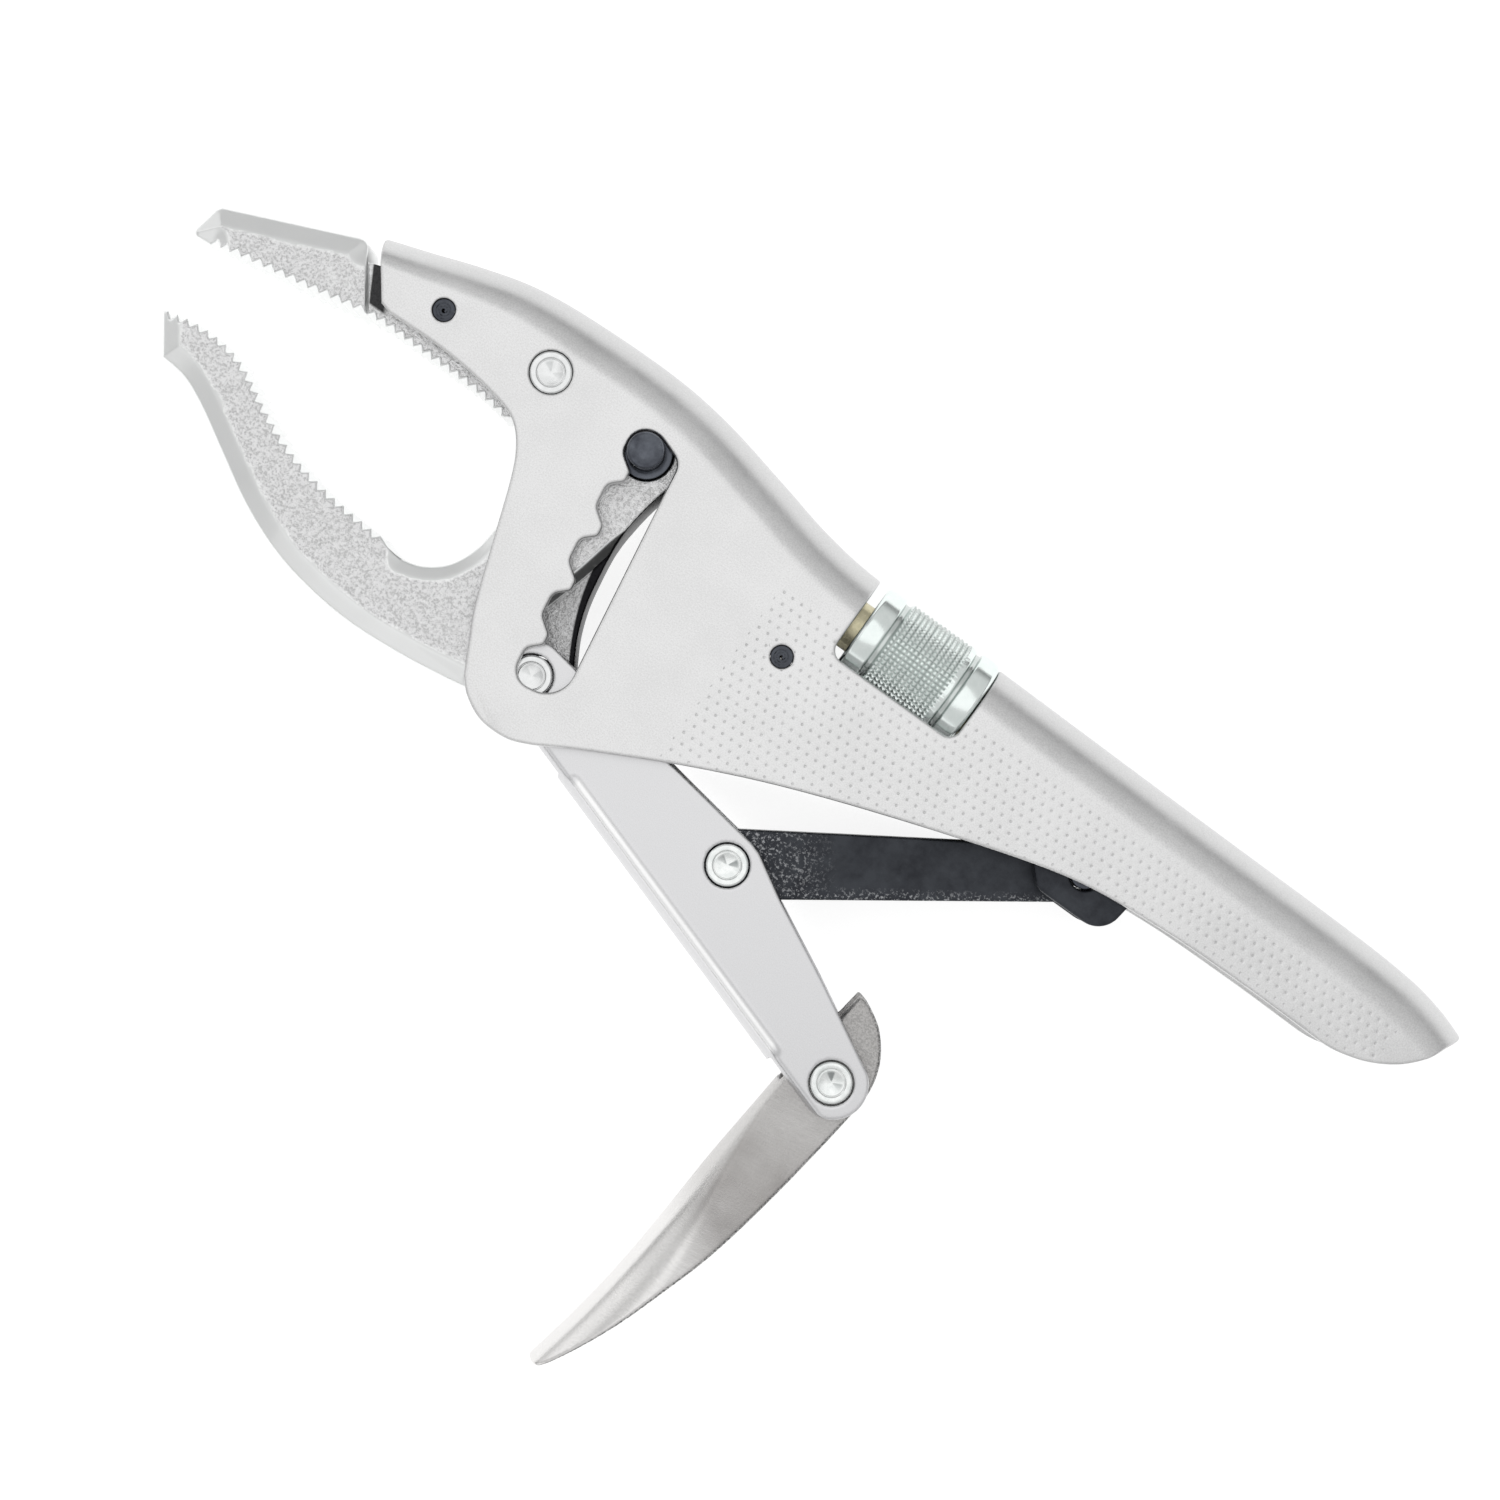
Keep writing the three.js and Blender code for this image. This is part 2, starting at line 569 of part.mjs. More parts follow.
// ---- release lever ------------------------------------------------------------------------
function releaseLever() {
  const spineLine = smooth([
    [27.6, -52], [26.3, -64], [24.6, -76], [23.4, -88.6], [22.4, -100], [21.6, -113.4],
    [20.5, -126.8], [18.9, -138.3], [16.7, -149.7], [15.2, -158],
  ], 16);
  const depthAt = (x, y) =>
    THREE.MathUtils.lerp(1.6, 9, THREE.MathUtils.smoothstep(-y, 80, 128));
  // Narrow between the lever's sides, wider where the hand presses.
  const narrowed = (solid, inset) => {
    const narrow = RELEASE_HALF - inset;
    const wide = RELEASE_WIDE_HALF - inset;
    const profile = [[-20, narrow], [-82, narrow], [-88, narrow + 0.6], [-98, wide - 0.4],
      [-106, wide], [-190, wide]];
    return solid.intersect(endPrism([
      ...profile.map(([y, z]) => [y, MIDDLE + z]),
      ...profile.reverse().map(([y, z]) => [y, MIDDLE - z]),
    ]));
  };
  const spine = edge(spineLine, depthAt);
  const trough = channel(spine, RELEASE_WIDE_HALF, RELEASE_SHEET, [1, 0], narrowed);
  const outerEdge = smooth([
    [27.5, -57.8], [30.4, -58.6], [34.2, -60.9], [37.4, -64.7], [39.2, -68.8], [39.8, -73.5],
    [39.2, -79.5], [38.2, -87], [36.2, -99], [33.3, -113.5], [30, -124.5], [26.6, -134.5],
    [22.8, -143.3], [19.4, -149.6], [17.6, -150.4],
  ], 26);
  const silhouette = [...outerEdge, [10, -150.4], [10, -62.8], [26.6, -62.8]];
  const hookOpening = prism([[20, -50], [20, -79.5], [45, -79.5], [45, -50]],
    MIDDLE - RELEASE_HALF + RELEASE_SHEET, MIDDLE + RELEASE_HALF - RELEASE_SHEET);
  return cut(
    trough.intersect(prism(silhouette)),
    hookOpening,
    disc(RELEASE_PIVOT, RELEASE_SHANK_RADIUS + GAP, -5, 30, 20),
  );
}

// ---- opening spring -----------------------------------------------------------------------
// A closed-wound tension spring with a loop at each end, drawn as its outer shape.
function openingSpring() {
  const from = new THREE.Vector2(...REAR_COIL_PIN);
  const to = new THREE.Vector2(...SPRING_LUG);
  const along = to.clone().sub(from).normalize();
  const length = to.distanceTo(from);
  const heading = THREE.MathUtils.radToDeg(Math.atan2(along.y, along.x));
  const coil = new THREE.CylinderGeometry(2.6, 2.6, length - 14, 14);
  coil.rotateZ(THREE.MathUtils.degToRad(heading - 90));
  const middle = from.clone().lerp(to, 0.5);
  coil.translate(middle.x, middle.y, MIDDLE);
  const WIRE = 0.5;
  const pinLoop = ring(REAR_COIL_PIN, 3.4, COIL_PIN_RADIUS + GAP, MIDDLE - WIRE, MIDDLE + WIRE, 24);
  const pinEnd = from.clone().addScaledVector(along, 3);
  const coilEnd = from.clone().addScaledVector(along, 8);
  const wireBar = (a, b) => {
    const side = new THREE.Vector2(-along.y, along.x).multiplyScalar(WIRE);
    const corners = [[a, 1], [b, 1], [b, -1], [a, -1]];
    return prism(corners.map(([p, s]) => [p.x + s * side.x, p.y + s * side.y]),
      MIDDLE - WIRE, MIDDLE + WIRE);
  };
  const hookFrom = to.clone().addScaledVector(along, -8);
  const hookTo = to.clone().addScaledVector(along, -2.9);
  return join(solidOf(coil), pinLoop, wireBar(pinEnd, coilEnd), wireBar(hookFrom, hookTo));
}

// ---- assembly -----------------------------------------------------------------------------
const RIM = 0.2;
add("body_frame", bodyFrame(), PLATED);
add("upper_jaw", upperJaw(), FORGED);
add("upper_jaw_rivet", disc(UPPER_JAW_RIVET, RIVET_RADIUS, RIM, BODY_WIDTH - RIM), BRIGHT);
[["front_coil_pin", FRONT_COIL_PIN], ["rear_coil_pin", REAR_COIL_PIN]].forEach(([name, at]) => {
  add(name, ring(at, COIL_PIN_RADIUS, 0.9, RIM, BODY_WIDTH - RIM, 24), BLACK_OXIDE);
});
add("screw_guide", screwGuide(), BLACK_OXIDE);
add("adjusting_nut", adjustingNut(), ZINC);
add("adjusting_screw", adjustingScrew(), YELLOW_ZINC);
add("screw_yoke", screwYoke(), BLACK_OXIDE);
add("yoke_pin", disc(YOKE_PIVOT, YOKE_PIN_RADIUS, MIDDLE - YOKE_HALF, MIDDLE + YOKE_HALF, 20),
  BUTTON_BLACK);
add("yoke_bush", ring(YOKE_PIVOT, YOKE_BUSH_RADIUS, YOKE_PIN_RADIUS + GAP, MIDDLE - 4, MIDDLE + 4, 20),
  BRIGHT);
add("toggle_link", toggleLink(), BLACK_OXIDE);
add("lever", lever(), PLATED);
add("link_rivet", leverRivet(LEVER_LINK_PIVOT, LINK_SHANK_RADIUS), BRIGHT);
add("jaw_lever_rivet", leverRivet(JAW_LEVER_PIVOT, JAW_SHANK_RADIUS), BRIGHT);
add("release_lever_rivet", leverRivet(RELEASE_PIVOT, RELEASE_SHANK_RADIUS), BRIGHT);
add("release_lever", releaseLever(), NICKEL);
add("lower_jaw", lowerJaw(), FORGED);
add("pivot_pin", pivotPin(), BUTTON_BLACK);
add("pivot_sleeve",
  ring(JAW_PIVOT, SLEEVE_RADIUS, PIVOT_SHANK_RADIUS + GAP, MIDDLE - 5, MIDDLE + 5), BRIGHT);
const rearWasher = MIDDLE - WASHER_SEAT - WASHER_THICKNESS;
const frontWasher = MIDDLE + WASHER_SEAT;
[["rear_pivot_washer", rearWasher], ["front_pivot_washer", frontWasher]].forEach(([name, z]) => {
  const bore = PIVOT_SHANK_RADIUS + GAP;
  add(name, ring(JAW_PIVOT, WASHER_RADIUS, bore, z, z + WASHER_THICKNESS), BUTTON_BLACK);
});
add("opening_spring", openingSpring(), BRIGHT);

parts.position.set(-BOX_MIDDLE[0], -BOX_MIDDLE[1], 0);
const pliers = new THREE.Group();
pliers.add(parts);

export default pliers;
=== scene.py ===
"""Locking pliers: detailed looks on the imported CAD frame. Shapes are drawn in millimetres, in the
drawing frame that has the jaw's pivot at JAW_PIVOT, and put in the row frame in metres."""

import json
import math

import bmesh
import bpy
import numpy as np
import openvdb
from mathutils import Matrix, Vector

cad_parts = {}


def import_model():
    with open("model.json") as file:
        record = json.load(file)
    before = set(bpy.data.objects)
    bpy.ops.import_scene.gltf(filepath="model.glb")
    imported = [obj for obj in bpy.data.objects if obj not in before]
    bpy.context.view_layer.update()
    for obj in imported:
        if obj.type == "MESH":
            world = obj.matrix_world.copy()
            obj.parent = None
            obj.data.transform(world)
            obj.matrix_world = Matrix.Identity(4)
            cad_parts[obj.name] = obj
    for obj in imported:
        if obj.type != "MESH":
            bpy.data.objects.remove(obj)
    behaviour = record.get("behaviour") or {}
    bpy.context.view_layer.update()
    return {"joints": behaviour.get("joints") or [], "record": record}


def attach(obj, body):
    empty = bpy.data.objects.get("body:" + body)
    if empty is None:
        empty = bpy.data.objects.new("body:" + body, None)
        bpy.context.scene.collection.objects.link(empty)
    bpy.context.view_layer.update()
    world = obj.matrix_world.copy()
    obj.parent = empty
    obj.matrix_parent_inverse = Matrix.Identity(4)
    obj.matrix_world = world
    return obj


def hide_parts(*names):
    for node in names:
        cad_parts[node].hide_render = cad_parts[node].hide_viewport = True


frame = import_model()

# ---- driving dimensions, millimetres --------------------------------------------------------
MM = 0.001
BODY_HALF = 10.2
MIDDLE = BODY_HALF
BODY_SHEET = 2.5
LEVER_HALF, LEVER_SHEET = 7.3, 2.0
RELEASE_HALF, RELEASE_WIDE_HALF, RELEASE_SHEET = 5.0, 7.3, 1.7
JAW_HALF, JAW_HINGE_HALF, NOSE_HALF = 7.1, 5.0, 9.9
LINK_HALF = 2.6
YOKE_HALF = 7.4
GAP = 0.3

JAW_PIVOT = (-64.2, 1.3)
JAW_LEVER_PIVOT = (-57.4, -45.2)
LEVER_LINK_PIVOT = (-7, -52.5)
RELEASE_PIVOT = (32.6, -74.2)
YOKE_PIVOT = (48.5, -15)
SCREW_AXIS_Y = -1.8
UPPER_JAW_RIVET = (-87.1, 2.9)
FRONT_COIL_PIN = (-110, 0.7)
REAR_COIL_PIN = (-21.4, -15)
SPRING_LUG = (-46.9, -44.4)

NOTCHES, NOTCH_STEP, SLOT_ANGLE = 5, 11.3, math.radians(-80.8)
LIP_OFFSET, NOTCH_OFFSET, SLOT_STRAIGHT_OFFSET = -0.95, -3.7, 6.6

RIVET_RADIUS = 4.0
COIL_PIN_RADIUS = 2.1
SCREW_RADIUS, SCREW_TAIL_RADIUS, THREAD_PITCH = 5.0, 3.5, 1.5
NUT_RADIUS = 10.0

BEAD = (-39.5, -56.2), (20.4, -75.4)
DIMPLE_PITCH = 2.0
DIMPLES_FROM, DIMPLES_TO, DIMPLES_TOP = -29, 112, -3.2



def cell(full):
    return full


FINE = cell(0.25)

JOINTS = {joint["name"]: joint for joint in frame["joints"]}
ORIGIN = Vector(JOINTS["jaw_close"]["pos_m"]) / MM - Vector((*JAW_PIVOT, MIDDLE))


def to_row(points):
    """Drawing millimetres to row-frame metres."""
    return (np.asarray(points, float) + np.array(ORIGIN)) * MM


# ---- outlines -------------------------------------------------------------------------------
def arc(centre, radius, start, end, step=6):
    """Points on an arc, with its angles in degrees."""
    count = max(1, math.ceil(abs(end - start) / step))
    turns = np.radians(np.linspace(start, end, count + 1))
    return [(centre[0] + radius * math.cos(t), centre[1] + radius * math.sin(t)) for t in turns]


def smooth(points, count=90):
    """Evenly spaced points on a smooth curve through the points given."""
    p = np.array([points[0], *points, points[-1]], float)
    t = np.linspace(0, 1, 40, endpoint=False)[:, None]
    pieces = []
    for a, b, c, d in zip(p, p[1:], p[2:], p[3:]):
        v0, v1 = (c - a) / 2, (d - b) / 2
        pieces.append(
            (2 * b - 2 * c + v0 + v1) * t**3 + (3 * c - 3 * b - 2 * v0 - v1) * t**2 + v0 * t + b
        )
    dense = np.vstack([*pieces, p[-1:]])
    length = np.r_[0, np.cumsum(np.hypot(*np.diff(dense, axis=0).T))]
    at = np.linspace(0, length[-1], count + 1)
    return list(zip(np.interp(at, length, dense[:, 0]), np.interp(at, length, dense[:, 1])))


def rounded(corners, step=8):
    """A polygon whose corners (x, y, radius) are rounded; a corner with no radius stays sharp."""
    points = []
    for i, corner in enumerate(corners):
        here = Vector(corner[:2])
        radius = corner[2] if len(corner) > 2 else 0
        if not radius:
            points.append(tuple(here))
            continue
        a = (Vector(corners[i - 1][:2]) - here).normalized()
        b = (Vector(corners[(i + 1) % len(corners)][:2]) - here).normalized()
        half = math.acos(a.dot(b)) / 2
        inward = (a + b).normalized()
        centre = here + inward * radius / math.sin(half)
        middle = math.degrees(math.atan2(-inward.y, -inward.x))
        sweep = math.copysign(90 - math.degrees(half), a.x * b.y - a.y * b.x)
        points += arc(centre, radius, middle + sweep, middle - sweep, step)
    return points


def teeth(points, count, depth):
    """A row of V-shaped teeth whose tips follow the curve through the points given."""
    tips = np.array(smooth(points, 2 * count))
    along = np.gradient(tips, axis=0)
    along /= np.hypot(*along.T)[:, None]
    back = np.where(np.arange(len(tips)) % 2, depth, 0)[:, None]
    return [tuple(p) for p in tips + back * np.column_stack([-along[:, 1], along[:, 0]])]


def in_slot(s, w):
    """A point of the slot's own frame: s along it from the first notch, w towards the handle."""
    c, n = math.cos(SLOT_ANGLE), math.sin(SLOT_ANGLE)
    return JAW_PIVOT[0] + s * c - w * n, JAW_PIVOT[1] + s * n + w * c


# ---- solids as distance fields --------------------------------------------------------------
REACH = 14


class Block:
    """Sample points over a box of the drawing. A field is the distance outside a shape, in mm."""

    def __init__(self, low, high, step):
        self.low, self.step = np.array(low, float), step
        axes = [np.arange(a, b + step, step) for a, b in zip(low, high)]
        self.x = axes[0].astype(np.float32)[:, None, None]
        self.y = axes[1].astype(np.float32)[None, :, None]
        self.z = axes[2].astype(np.float32)[None, None, :] - MIDDLE
        self.xs, self.ys = axes[0], axes[1]

    def near(self, line):
        """Distance to an open line, up to REACH."""
        found = np.full((len(self.xs), len(self.ys)), REACH, float)
        for (ax, ay), (bx, by) in zip(line, line[1:]):
            i = slice(*np.searchsorted(self.xs, (min(ax, bx) - REACH, max(ax, bx) + REACH)))
            j = slice(*np.searchsorted(self.ys, (min(ay, by) - REACH, max(ay, by) + REACH)))
            px, py = self.xs[i, None] - ax, self.ys[None, j] - ay
            dx, dy = bx - ax, by - ay
            long = dx * dx + dy * dy
            if long < 1e-9 or not px.size or not py.size:
                continue
            t = np.clip((px * dx + py * dy) / long, 0, 1)
            found[i, j] = np.minimum(found[i, j], np.hypot(px - t * dx, py - t * dy))
        return found

    def inside(self, outline):
        hit = np.zeros((len(self.xs), len(self.ys)), bool)
        for (ax, ay), (bx, by) in zip(outline, [*outline[1:], outline[0]]):
            rows = (self.ys > min(ay, by)) & (self.ys <= max(ay, by))
            if rows.any():
                at = ax + (self.ys[rows] - ay) / (by - ay) * (bx - ax)
                hit[:, rows] ^= self.xs[:, None] < at[None, :]
        return hit

    def outline(self, points):
        """The field of a prism of this outline, through all of Z."""
        away = self.near([*points, points[0]])
        return np.where(self.inside(points), -away, away).astype(np.float32)[:, :, None]

    def behind(self, line, *closing):
        """How far inside its line a region is: positive on the side of the closing points."""
        away = self.near(line)
        return np.where(self.inside([*line, *closing]), away, -away).astype(np.float32)[:, :, None]

    def slab(self, half):
        return np.abs(self.z) - half

    def hole(self, centre, radius):
        return np.hypot(self.x - centre[0], self.y - centre[1]) - radius

    def mesh(self, name, field, faces=180_000):
        """The surface where the field is zero, thinned to about this many triangles."""
        band = 3 * self.step
        field = np.clip(field, -band, band).astype(np.float32)
        for side in (0, -1):
            field[side], field[:, side], field[:, :, side] = band, band, band
        grid = openvdb.FloatGrid(background=band)
        grid.copyFromArray(np.ascontiguousarray(field))
        points, quads = grid.convertToQuads(0.0)
        made = bpy.data.meshes.new(name)
        made.from_pydata(to_row(self.low + points * self.step), [], quads[:, ::-1].tolist())
        made.polygons.foreach_set("use_smooth", np.ones(len(quads), bool))
        piece = bpy.data.objects.new(name, made)
        bpy.context.scene.collection.objects.link(piece)
        if 2 * len(quads) > faces:
            thin = piece.modifiers.new("thin", "DECIMATE")
            thin.ratio = faces / (2 * len(quads))
            apply_modifiers(piece)
        return piece


def apply_modifiers(piece):
    graph = bpy.context.evaluated_depsgraph_get()
    final = bpy.data.meshes.new_from_object(piece.evaluated_get(graph))
    piece.modifiers.clear()
    old, piece.data = piece.data, final
    final.name = piece.name
    bpy.data.meshes.remove(old)


def meet(a, b, radius=0.35):
    """The space inside both fields, with the edge where they meet rounded."""
    corner = np.hypot(np.maximum(a + radius, 0), np.maximum(b + radius, 0))
    return np.minimum(np.maximum(a, b), -radius) + corner


def without(a, b, radius=0.35):
    return meet(a, -b, radius)


def folded(depth, z, spine_depth, half, fullness=2.0):
    """Outside of a channel whose spine is half an ellipse: depth is measured in from the spine.
    A fullness under 2 gives the spine straighter flanks."""
    u = np.maximum(spine_depth - depth, 0) / spine_depth
    w = np.abs(z) / half
    scale = np.maximum((u**fullness + w**fullness) ** (1 / fullness), 1e-3)
    slope = np.hypot(u ** (fullness - 1) / spine_depth, w ** (fullness - 1) / half)
    slope = np.maximum(slope, 1e-3 / half)
    return scale ** (fullness - 1) * (scale - 1) / slope


def bevel(block, distance, rise, width, half):
    """A flat bevel: it takes rise off the edge's height and is width wide on the face."""
    return ((np.abs(block.z) - half + rise) * width - distance * rise) / np.hypot(width, rise)


def ramp(x, x0, x1, v0, v1):
    """From v0 at x0 to v1 at x1, and level outside them."""
    t = np.clip((x - x0) / (x1 - x0), 0, 1)
    return v0 + (v1 - v0) * t


def easing(x, x0, x1):
    """From 0 at x0 to 1 at x1, levelling off at both ends."""
    t = np.clip((x - x0) / (x1 - x0), 0, 1)
    return t * t * (3 - 2 * t)


# ---- turned pieces --------------------------------------------------------------------------
def lathe(name, profile, centre, along="Z", segments=96, relief=None):
    """A closed profile of (radius, height), turned about Z or X. relief changes each radius."""
    rows = np.array(profile, float)
    turn = np.linspace(0, 2 * math.pi, segments, endpoint=False)
    radius = np.repeat(rows[:, :1], segments, axis=1)
    height = np.repeat(rows[:, 1:], segments, axis=1)
    if relief:
        radius = radius + relief(height, np.broadcast_to(turn, height.shape))
    a, b = radius * np.cos(turn), radius * np.sin(turn)
    local = (a, b, height) if along == "Z" else (height, a, b)
    points = np.stack(local, axis=-1).reshape(-1, 3) + np.array(centre)
    i = np.arange(len(rows) - 1)[:, None] * segments
    j = np.arange(segments)[None, :]
    k = (j + 1) % segments
    quads = np.stack([i + j, i + k, i + segments + k, i + segments + j], axis=-1).reshape(-1, 4)
    faces = quads.tolist()
    if rows[0, 0] > 0 or rows[-1, 0] > 0:
        same = np.allclose(rows[0], rows[-1])
        if not same:
            faces += [list(range(segments))[::-1]]
            faces += [[(len(rows) - 1) * segments + n for n in range(segments)]]
    made = bpy.data.meshes.new(name)
    made.from_pydata(to_row(points), [], faces)
    piece = bpy.data.objects.new(name, made)
    bpy.context.scene.collection.objects.link(piece)
    tidy(piece)
    return piece


def tidy(piece, angle=35):
    """Merges doubled points, faces outward, and keeps edges sharper than the angle crisp."""
    work = bmesh.new()
    work.from_mesh(piece.data)
    bmesh.ops.remove_doubles(work, verts=work.verts, dist=2e-6)
    bmesh.ops.recalc_face_normals(work, faces=work.faces)
    work.to_mesh(piece.data)
    work.free()
    piece.data.polygons.foreach_set("use_smooth", np.ones(len(piece.data.polygons), bool))
    piece.data.set_sharp_from_angle(angle=math.radians(angle))


def softened(points, radius=0.25, steps=4):
    """An open profile with each inner corner rounded off."""
    out = [points[0]]
    for a, b, c in zip(points, points[1:], points[2:]):
        here = Vector(b)
        to_a, to_c = Vector(a) - here, Vector(c) - here
        r = min(radius, to_a.length * 0.45, to_c.length * 0.45)
        p, q = here + to_a.normalized() * r, here + to_c.normalized() * r
        for t in np.linspace(0, 1, steps + 1):
            out.append(tuple(p * (1 - t) ** 2 + here * 2 * t * (1 - t) + q * t**2))
    out.append(points[-1])
    return out


def wire(name, points, radius):
    """A round wire along a smooth line, in drawing millimetres."""
    curve = bpy.data.curves.new(name, "CURVE")
    curve.dimensions = "3D"
    curve.bevel_depth = radius * MM
    curve.bevel_resolution = 3
    curve.use_fill_caps = True
    spline = curve.splines.new("POLY")
    row = to_row(points)
    spline.points.add(len(row) - 1)
    spline.points.foreach_set("co", np.column_stack([row, np.ones(len(row))]).ravel())
    spline.use_smooth = True
    lofted = bpy.data.objects.new(name + "_line", curve)
    bpy.context.scene.collection.objects.link(lofted)
    made = bpy.data.meshes.new_from_object(
        lofted.evaluated_get(bpy.context.evaluated_depsgraph_get())
    )
    bpy.data.objects.remove(lofted)
    piece = bpy.data.objects.new(name, made)
    bpy.context.scene.collection.objects.link(piece)
    return piece


# ---- materials ------------------------------------------------------------------------------
class Shader:
    """A Principled material built from nodes, with the texture in the row frame's metres."""

    def __init__(self, name, roughness, metallic=1.0, specular=0.5):
        self.material = bpy.data.materials.new(name)
        self.material.use_nodes = True
        self.tree = self.material.node_tree
        self.tree.nodes.clear()
        output = self.tree.nodes.new("ShaderNodeOutputMaterial")
        self.surface = self.tree.nodes.new("ShaderNodeBsdfPrincipled")
        self.tree.links.new(self.surface.outputs[0], output.inputs[0])
        self.surface.inputs["Metallic"].default_value = metallic
        self.surface.inputs["Roughness"].default_value = roughness
        self.surface.inputs["Specular IOR Level"].default_value = specular
        self.place = self.tree.nodes.new("ShaderNodeTexCoord").outputs["Object"]

    def node(self, kind, inputs=(), **settings):
        made = self.tree.nodes.new(kind)
        for key, value in settings.items():
            setattr(made, key, value)
        for key, value in dict(inputs).items():
            self.feed(made.inputs[key], value)
        return made

    def feed(self, socket, value):
        if isinstance(value, bpy.types.NodeSocket):
            self.tree.links.new(value, socket)
        else:
            socket.default_value = value

    def noise(self, size_mm, detail=2.0, rough=0.5, stretch=None, turn=0.0):
        """Noise whose features are about this size."""
        place = self.place
        if stretch:
            settings = {"Vector": place, "Scale": stretch, "Rotation": (0, 0, turn)}
            place = self.node("ShaderNodeMapping", settings, vector_type="TEXTURE").outputs[0]
        settings = {"Vector": place, "Scale": 1 / (size_mm * MM), "Detail": detail}
        made = self.node("ShaderNodeTexNoise", {**settings, "Roughness": rough})
        return made.outputs["Fac"]

    def where(self):
        """The place's X, Y and height from the middle plane, in drawing millimetres."""
        split = self.node("ShaderNodeSeparateXYZ", {0: self.place})
        middle = (0, 0, MIDDLE)
        return [self.math("MULTIPLY_ADD", split.outputs[i], 1 / MM, -ORIGIN[i] - middle[i])
                for i in range(3)]

    def remap(self, value, low, high, to_low=0.0, to_high=1.0):
        settings = {0: value, 1: low, 2: high, 3: to_low, 4: to_high}
        return self.node("ShaderNodeMapRange", settings).outputs[0]

    def math(self, operation, a, b=0.0, c=0.0):
        return self.node("ShaderNodeMath", {0: a, 1: b, 2: c}, operation=operation).outputs[0]

    def product(self, *values):
        made = values[0]
        for value in values[1:]:
            made = self.math("MULTIPLY", made, value)
        return made

    def length(self, a, b):
        """The length of a line that reaches a one way and b the other."""
        return self.math("SQRT", self.math("ADD", self.product(a, a), self.product(b, b)))

    def mix(self, factor, a, b):
        return self.node("ShaderNodeMix", {0: factor, 6: a, 7: b}, data_type="RGBA").outputs[2]

    def colour(self, value):
        self.feed(self.surface.inputs["Base Color"], value)

    def roughness(self, value):
        self.feed(self.surface.inputs["Roughness"], value)

    def bump(self, height, depth_mm, strength=1.0, after=None):
        settings = {"Height": height, "Distance": depth_mm * MM, "Strength": strength}
        if after:
            settings["Normal"] = after
        normal = self.node("ShaderNodeBump", settings).outputs[0]
        self.tree.links.new(normal, self.surface.inputs["Normal"])
        return normal

    def face(self):
        """How squarely the surface faces along Z, from 0 on an edge to 1 on a flat side."""
        normal = self.node("ShaderNodeTexCoord").outputs["Normal"]
        z = self.node("ShaderNodeSeparateXYZ", {0: normal}).outputs[2]
        return self.math("ABSOLUTE", z)

    def edges(self, low, high):
        """The convex edges, from the mesh's own sharpness."""
        sharp = self.node("ShaderNodeNewGeometry").outputs["Pointiness"]
        return self.remap(sharp, low, high)


def rgb(red, green, blue):
    return (red, green, blue, 1)


def satin_steel(name, light, dark, roughness=0.34, grain=0.3, depth=0.02, spine_shade=0.32, dimpled=False,
                bead_highlight=False):
    """Bead-blasted plated sheet: a fine even grain, faintly cloudy, with painted shade, mottled,
    where the sheet curves round its spine. Dimpled sheet gets painted shade in its pits;
    bead_highlight paints a highlight along the lever's bead.
    """
    s = Shader(name, roughness)
    fine = s.noise(grain, detail=2, rough=0.6)
    clouds = s.noise(16, detail=4, rough=0.6)
    tone = s.math("ADD", s.product(clouds, 0.4), s.product(fine, 0.6))
    colour = s.mix(s.remap(tone, 0.4, 0.6), dark, light)
    s.roughness(s.remap(s.math("ADD", fine, clouds), 0.7, 1.3, roughness - 0.05, roughness + 0.08))
    normal = s.bump(fine, depth)
    if dimpled:
        pit = s.product(dimple_pits(s), s.remap(s.noise(1.2), 0.3, 0.7, 0.4, 1))
        # Painted shade darkens the middle of each pit.
        colour = s.mix(s.product(pit, 0.22), colour, rgb(0.25, 0.25, 0.25))
        s.bump(s.product(pit, -1), 0.1, after=normal)
    # Painted shade: darker, mottled, where the surface turns away from Z round the spine.
    mottle = s.remap(s.noise(1.1, detail=4, rough=0.75), 0.35, 0.65, 0.8, 1)
    spine_shade_mask = s.product(s.remap(s.face(), 0.985, 0.78), s.remap(s.face(), 0.1, 0.5, 0.8, 1), mottle)
    colour = s.mix(s.product(spine_shade_mask, spine_shade), colour, rgb(0.38, 0.38, 0.38))
    if bead_highlight:
        # Painted highlight along the lever's raised bead.
        colour = s.mix(bead_line(s), colour, rgb(0.98, 0.98, 0.98))
    s.colour(colour)
    return s.material


def dimple_pits(s):
    """The handle's rows of small pits, from 0 on the flat to 1 at a pit's middle."""
    x, y, _ = s.where()
    row = s.math("FLOOR", s.math("DIVIDE", y, DIMPLE_PITCH))
    shifted = s.math("MULTIPLY_ADD", s.math("FLOORED_MODULO", row, 2), -DIMPLE_PITCH / 2, x)
    dx = s.math("SUBTRACT", s.math("FLOORED_MODULO", shifted, DIMPLE_PITCH), DIMPLE_PITCH / 2)
    dy = s.math("SUBTRACT", s.math("FLOORED_MODULO", y, DIMPLE_PITCH), DIMPLE_PITCH / 2)
    pit = s.remap(s.length(dx, dy), 0.08, 0.3, 1, 0)
    grip = s.product(s.remap(x, DIMPLES_FROM, DIMPLES_FROM + 0.1),
                     s.remap(x, DIMPLES_TO, DIMPLES_TO - 0.1),
                     s.remap(y, DIMPLES_TOP, DIMPLES_TOP - 0.1))
    return s.product(pit, grip, s.remap(s.face(), 0.97, 0.99))


